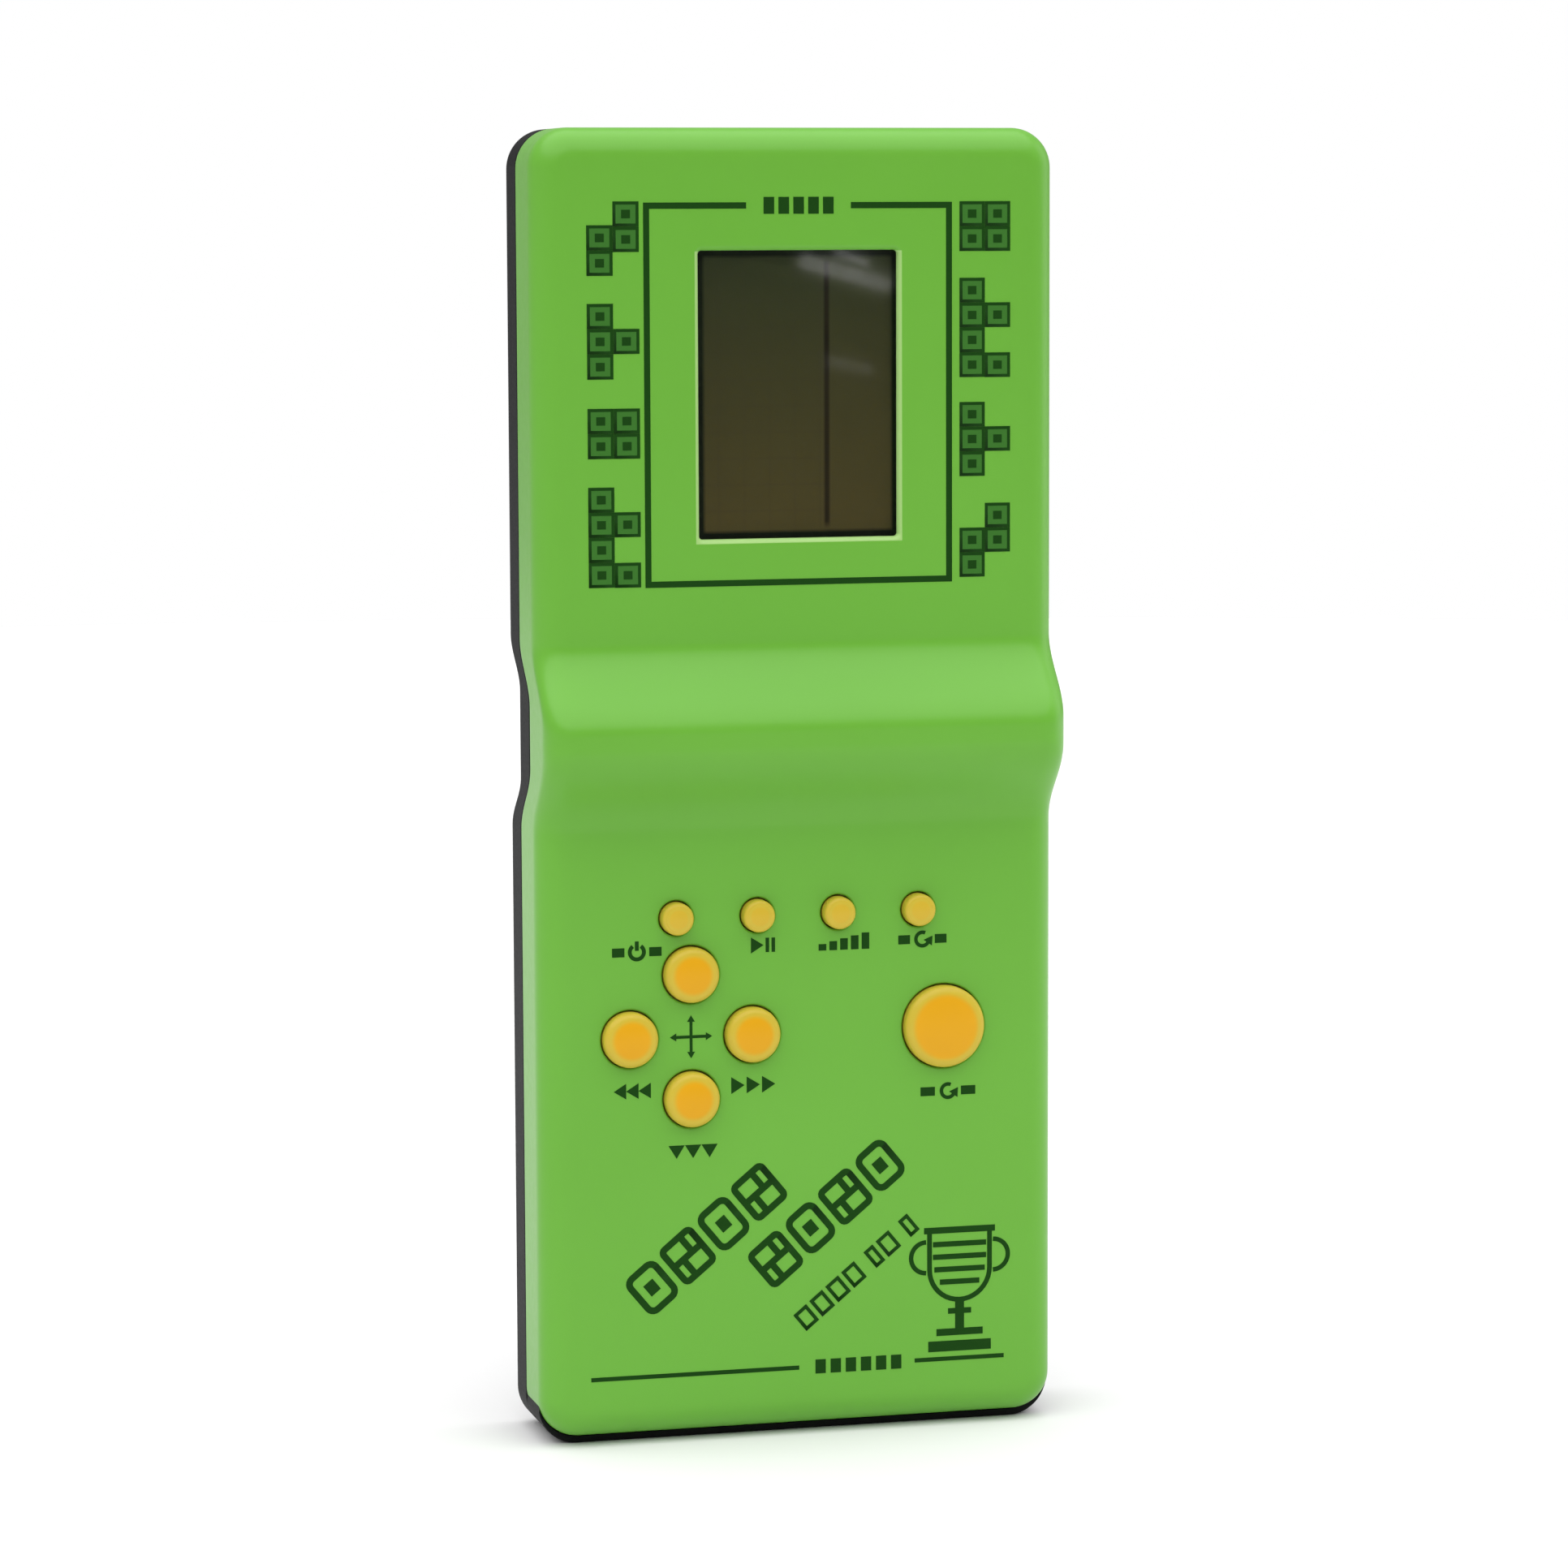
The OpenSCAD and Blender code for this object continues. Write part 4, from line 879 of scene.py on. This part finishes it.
def arrow_head(tip, heading, size):
    """A filled triangle with its tip at a point, pointing along a heading in degrees."""
    a = np.radians(heading)
    forward, side = np.array([math.cos(a), math.sin(a)]), np.array([-math.sin(a), math.cos(a)])
    back = np.array(tip) - forward * size
    return plate([tip, back + side * size * 0.62, back - side * size * 0.62])


def turned(points, origin, degrees):
    """Points of x and z turned about zero, anticlockwise in degrees, and then moved to an origin."""
    a = math.radians(degrees)
    spin = np.array([[math.cos(a), math.sin(a)], [-math.sin(a), math.cos(a)]])
    return np.array(points, float) @ spin + np.array(origin)


def print_piece(name, grids, material):
    """Joins closed ink shapes into one print, each a hair above the last so that none share a surface."""
    for i, grid in enumerate(grids):
        grid[grid[..., 1] < FACE, 1] -= INK_STEP * (i % INK_LEVELS)
    piece(name, skin(grids), material)


def window_frame():
    """A line round the window, open in the middle of its top, with five plain squares in the opening."""
    half_w, top, bottom, gap = 21.4, 171.4, 119.9, 7.4
    corners = [(gap, top), (half_w, top), (half_w, bottom), (-half_w, bottom), (-half_w, top), (-gap, top)]
    line = ribbon(corners, 0.85)
    squares = [bar(c - 0.75, c + 0.75, top, 2.3) for c in np.linspace(-4.2, 4.2, 5)]
    return [line] + squares


CELL_W, CELL_H = 3.66, 3.42
# Columns of block cells beside the window: left edge, top edge and how many cells down.
LEFT_COLUMNS = (-29.75, -29.75 + CELL_W)
RIGHT_COLUMNS = (22.9, 22.9 + CELL_W)
CELL_RUNS = [
    (LEFT_COLUMNS[1], 172.0, 2), (LEFT_COLUMNS[0], 168.8, 2),
    (LEFT_COLUMNS[0], 158.2, 3), (LEFT_COLUMNS[1], 154.8, 1),
    (LEFT_COLUMNS[0], 144.0, 2), (LEFT_COLUMNS[1], 144.0, 2),
    (LEFT_COLUMNS[0], 133.3, 4), (LEFT_COLUMNS[1], 129.9, 1), (LEFT_COLUMNS[1], 123.0, 1),
    (RIGHT_COLUMNS[0], 171.9, 2), (RIGHT_COLUMNS[1], 171.9, 2),
    (RIGHT_COLUMNS[0], 161.4, 4), (RIGHT_COLUMNS[1], 158.0, 1), (RIGHT_COLUMNS[1], 151.1, 1),
    (RIGHT_COLUMNS[0], 144.3, 3), (RIGHT_COLUMNS[1], 140.9, 1),
    (RIGHT_COLUMNS[1], 130.3, 2), (RIGHT_COLUMNS[0], 126.9, 2),
]
CELLS = [(x + CELL_W / 2, top - (i + 0.5) * CELL_H) for x, top, count in CELL_RUNS for i in range(count)]


def cell_ink():
    """Each block cell: a square outline and a small filled square in its middle."""
    grids = []
    for x, z in CELLS:
        w, h = CELL_W / 2 - 0.22, CELL_H / 2 - 0.22
        corners = [(x - w, z - h), (x + w, z - h), (x + w, z + h), (x - w, z + h)]
        grids.append(ribbon(corners, 0.42, closed=True))
        grids.append(bar(x - 0.62, x + 0.62, z, 1.15))
    return grids


def cell_tint():
    """The half tone that fills each block cell."""
    half = CELL_W / 2 - 0.3
    return [bar(x - half, x + half, z, CELL_H - 0.6, proud=INK_OUT / 3) for x, z in CELLS]


def turn_arrow(x, z, radius, width):
    """Most of a circle with an arrow head at its end."""
    last = 325
    path = arc(x, z, radius, 65, last, 30)
    heading, size = math.radians(last + 90), 1.25 * radius
    tip = path[-1] + size * np.array([math.cos(heading), math.sin(heading)])
    return [ribbon(path, width), arrow_head(tip, last + 90, size)]


def dashes(x, z, inner, outer):
    """Two thick dashes, one to either side of a sign."""
    return [bar(x - outer, x - inner, z, 1.25), bar(x + inner, x + outer, z, 1.25)]


def key_marks():
    """Plain signs beside the keys: on, start and pause, louder, start again, three directions and turn."""
    x, z = -23.4, 69.3
    grids = [ribbon(arc(x, z, 1.0, 125, 415, 30), 0.55), bar(x - 0.27, x + 0.27, z + 0.85, 1.3)]
    grids += dashes(x, z, 1.75, 3.5)
    x, z = -5.6, 69.6
    grids += [arrow_head((x + 0.2, z), 0, 1.8)]
    grids += [bar(x + 0.5, x + 1.0, z, 2.0), bar(x + 1.35, x + 1.85, z, 2.0)]
    grids += [bar(2.5 + 1.55 * i, 3.6 + 1.55 * i, 68.5 + (0.9 + 0.35 * i) / 2, 0.9 + 0.35 * i)
              for i in range(5)]
    x, z = 17.5, 69.55
    grids += turn_arrow(x, z, 0.95, 0.5) + dashes(x, z, 1.8, 3.5)
    grids += [arrow_head((tip, 49.95), 180, 1.75) for tip in (-26.8, -25.05, -23.3)]
    grids += [arrow_head((tip, 50.1), 0, 1.9) for tip in (-8.2, -6.0, -3.8)]
    grids += [arrow_head((tip, 40.2), 270, 1.85) for tip in (-17.95, -15.6, -13.25)]
    x, z = 21.2, 47.95
    grids += turn_arrow(x, z, 0.95, 0.5) + dashes(x, z, 1.9, 4.0)
    return grids


def pad_cross():
    """Four thin arms with arrow heads in the middle of the direction keys."""
    x = middle("up_button")[0]
    z = middle("left_button")[2]
    reach = 2.7
    grids = [bar(x - reach, x + reach, z, 0.42), bar(x - 0.21, x + 0.21, z, 2 * reach)]
    for heading in (0, 90, 180, 270):
        a = math.radians(heading)
        tip = (x + (reach + 0.3) * math.cos(a), z + (reach + 0.3) * math.sin(a))
        grids.append(arrow_head(tip, heading, 0.9))
    return grids


# The rows of tiles rise at this angle, in degrees, and are drawn with this stroke.
SLANT = 39.5
STROKE = 0.95


def tile_a(x, width, height):
    """A round-cornered square outline with a filled square inside."""
    h, v = width / 2 - STROKE / 2, height / 2 - STROKE / 2
    outline = ring_stack(h, v, 1.0, [(0, 0)], 5)[0][:, :2] + (x + width / 2, height / 2)
    return [("line", outline, True), ("fill", [(x + width / 2 + s * 0.85, height / 2 + t * 0.95)
                                               for s, t in ((-1, -1), (1, -1), (1, 1), (-1, 1))], True)]


def tile_b(x, width, height):
    """Two courses of bricks: an outline, a line across it and one upright in each half."""
    h, v = width / 2 - STROKE / 2, height / 2 - STROKE / 2
    outline = ring_stack(h, v, 0.6, [(0, 0)], 4)[0][:, :2] + (x + width / 2, height / 2)
    third = x + width * 0.36
    return [
        ("line", outline, True),
        ("line", [(x + STROKE, height / 2), (x + width - STROKE, height / 2)], False),
        ("line", [(third, STROKE), (third, height / 2)], False),
        ("line", [(x + width - (third - x), height / 2), (x + width - (third - x), height - STROKE)], False),
    ]


def slanted_tiles():
    """Two rising rows of block tiles and a row of small squares below them."""
    grids = []
    rows = (
        ((-21.6, 17.9), 6.7, ((tile_a, 5.6), (tile_b, 6.0), (tile_a, 5.6), (tile_b, 6.0))),
        ((-4.1, 20.9), 6.5, ((tile_b, 6.0), (tile_a, 5.4), (tile_b, 6.0), (tile_a, 5.4))),
    )
    for origin, height, tiles in rows:
        x = 0
        for tile, width in tiles:
            for kind, points, closed in tile(x, width, height):
                points = turned(points, origin, SLANT)
                grids.append(ribbon(points, STROKE, closed) if kind == "line" else plate(points))
            x += width + 0.85
    x = 0
    for gap, width in ((0, 1.9), (0.6, 1.9), (0.6, 1.9), (0.6, 1.9), (1.8, 1.2), (0.6, 1.9), (1.8, 1.2)):
        x += gap
        corners = [(x, 0), (x + width, 0), (x + width, 2.5), (x, 2.5)]
        grids.append(ribbon(turned(corners, (0.6, 15.2), SLANT), 0.5, closed=True))
        x += width + 0.5
    return grids


def cup_ornament():
    """A prize cup: bowl, two handles, stem and foot in thin lines, with three stripes round the bowl."""
    x, z = 22.9, 19.9
    bowl = np.concatenate([[(x - 4.4, z + 8.0)], arc(x, z + 2.6, 4.4, 180, 360, 20), [(x + 4.4, z + 8.0)]])
    grids = [ribbon(bowl, 0.7), ribbon([(x - 5.2, z + 8.2), (x + 5.2, z + 8.2)], 0.9)]
    grids += [ribbon(arc(x + s * 4.9, z + 4.4, 2.2, 90, 90 - s * 180, 20), 0.65) for s in (-1, 1)]
    stripes = ((3.9, 6.2), (3.9, 4.4), (3.7, 2.6), (2.9, 0.8))
    grids += [ribbon([(x - w, z + h), (x + w, z + h)], 0.75) for w, h in stripes]
    grids += [ribbon([(x, z - 1.6), (x, z - 6.2)], 1.3)]
    foot = ((1.7, 3.4, 0.8), (3.4, 6.4, 1.0), (4.6, 8.4, 1.5))
    return grids + [ribbon([(x - w, z - h), (x + w, z - h)], stroke) for w, h, stroke in foot]


def foot_line():
    """A line near the base, open to the right of its middle, with small plain squares in the opening."""
    z = 9.7
    lines = [ribbon([(-30.3, z), (-0.5, z)], 0.6), ribbon([(16.3, z), (29.4, z)], 0.6)]
    return lines + [bar(c - 0.75, c + 0.75, z, 2.0) for c in np.linspace(2.6, 13.6, 6)]


print_piece("window_frame_print", window_frame(), INK)
print_piece("block_cell_print", cell_ink(), INK)
print_piece("block_cell_tint", cell_tint(), INK_TINT)
print_piece("key_mark_print", key_marks() + pad_cross(), INK)
print_piece("tile_print", slanted_tiles(), INK)
print_piece("cup_print", cup_ornament(), INK)
print_piece("foot_line_print", foot_line(), INK)

# ---- Floor, lights and camera ----

floor_mesh = bpy.data.meshes.new("floor")
# A round floor, its radius in metres.
FLOOR_R, FLOOR_SIDES = 1.5, 96
rim_turn = np.linspace(0, 2 * math.pi, FLOOR_SIDES + 1)[:-1]
rim_points = np.column_stack([FLOOR_R * np.cos(rim_turn), FLOOR_R * np.sin(rim_turn), 0 * rim_turn])
floor_mesh.from_pydata(rim_points.tolist(), [], [list(range(FLOOR_SIDES))])
floor = bpy.data.objects.new("floor", floor_mesh)
bpy.context.scene.collection.objects.link(floor)
# Matt white paper sweep: no gloss, only soft shadows.
PAPER = finish("white_paper_sweep", "e8e8e8", "e6e6e6", 0.9, 2.0, 0.001, Specular_IOR_Level=0.0)
floor_mesh.materials.append(PAPER)

world = bpy.data.worlds.new("studio")
bpy.context.scene.world = world
world.use_nodes = True
# A white tent, open and dim towards the front, so that the face and the window reflect little of it.
tent = world.node_tree
around = node(tent, "ShaderNodeTexCoord", {}).outputs["Generated"]
towards = node(tent, "ShaderNodeSeparateXYZ", {"Vector": around}).outputs["Y"]
glow = node(tent, "ShaderNodeMapRange", {
    "Value": towards, "From Min": -0.9, "From Max": -0.2, "To Min": 0.05, "To Max": 0.40,
}).outputs["Result"]
seen = node(tent, "ShaderNodeLightPath", {}).outputs["Is Camera Ray"]
strength = node(tent, "ShaderNodeMapRange", {"Value": seen, "To Min": glow, "To Max": 1.0}).outputs["Result"]
tent.nodes["Background"].inputs["Color"].default_value = (1, 1, 1, 1)
tent.links.new(strength, tent.nodes["Background"].inputs["Strength"])


def softbox(name, place, aim, width, height, watts, lean=0.0):
    """A rectangular lamp at a place, turned towards an aim and leant to one side. Lengths in metres."""
    lamp = bpy.data.lights.new(name, "AREA")
    lamp.shape = "RECTANGLE"
    lamp.size, lamp.size_y = width, height
    lamp.energy = watts
    holder = bpy.data.objects.new(name, lamp)
    bpy.context.scene.collection.objects.link(holder)
    heading = Vector(aim) - Vector(place)
    facing = heading.to_track_quat("-Z", "Y").to_matrix().to_4x4()
    holder.matrix_world = Matrix.Translation(place) @ facing @ Matrix.Rotation(lean, 4, "Z")
    return holder


# A broad skylight overhead, a little in front, which lights the floor evenly however far it goes.
skylight = bpy.data.lights.new("skylight", "SUN")
skylight.energy = 3.75
skylight.angle = math.radians(100)
sky = bpy.data.objects.new("skylight", skylight)
bpy.context.scene.collection.objects.link(sky)
sky.matrix_world = Vector((0.1, 0.28, -1)).to_track_quat("-Z", "Y").to_matrix().to_4x4()

softbox("side_panel", (0.9, 0.05, 0.35), (0, 0, 0.09), 0.5, 0.9, 1.7)
# Three thin strips that show in the window as pale streaks, all turned towards its upper part.
STREAK_AIM = (0.006, 0, 0.161)
softbox("window_streak", (0.194, -0.69, 0.1555), STREAK_AIM, 0.026, 0.004, 0.00042, lean=-0.28)
softbox("window_glint", (0.196, -0.69, 0.1596), STREAK_AIM, 0.010, 0.002, 0.00010, lean=-0.35)
softbox("window_wisp", (0.195, -0.69, 0.1302), STREAK_AIM, 0.013, 0.003, 0.00005, lean=-0.20)

camera_data = bpy.data.cameras.new("camera")
camera_data.lens = 118.0
camera_data.sensor_width = 36.0
camera = bpy.data.objects.new("camera", camera_data)
bpy.context.scene.collection.objects.link(camera)
# The camera stands to the player's left and a little above. Its turn, tilt and lean are in radians.
CAMERA_PLACE = (-0.1800, -0.6898, 0.1688)
yaw, pitch, roll = 0.25432, 0.108438, -0.0038538
ahead = Vector((math.sin(yaw) * math.cos(pitch), math.cos(yaw) * math.cos(pitch), -math.sin(pitch)))
level = Vector((math.cos(yaw), -math.sin(yaw), 0))
above = level.cross(ahead)
right = math.cos(roll) * level + math.sin(roll) * above
up = -math.sin(roll) * level + math.cos(roll) * above
facing = Matrix((right, up, -ahead)).transposed().to_4x4()
camera.matrix_world = Matrix.Translation(CAMERA_PLACE) @ facing
bpy.context.scene.camera = camera
bpy.context.scene.view_settings.view_transform = "Standard"
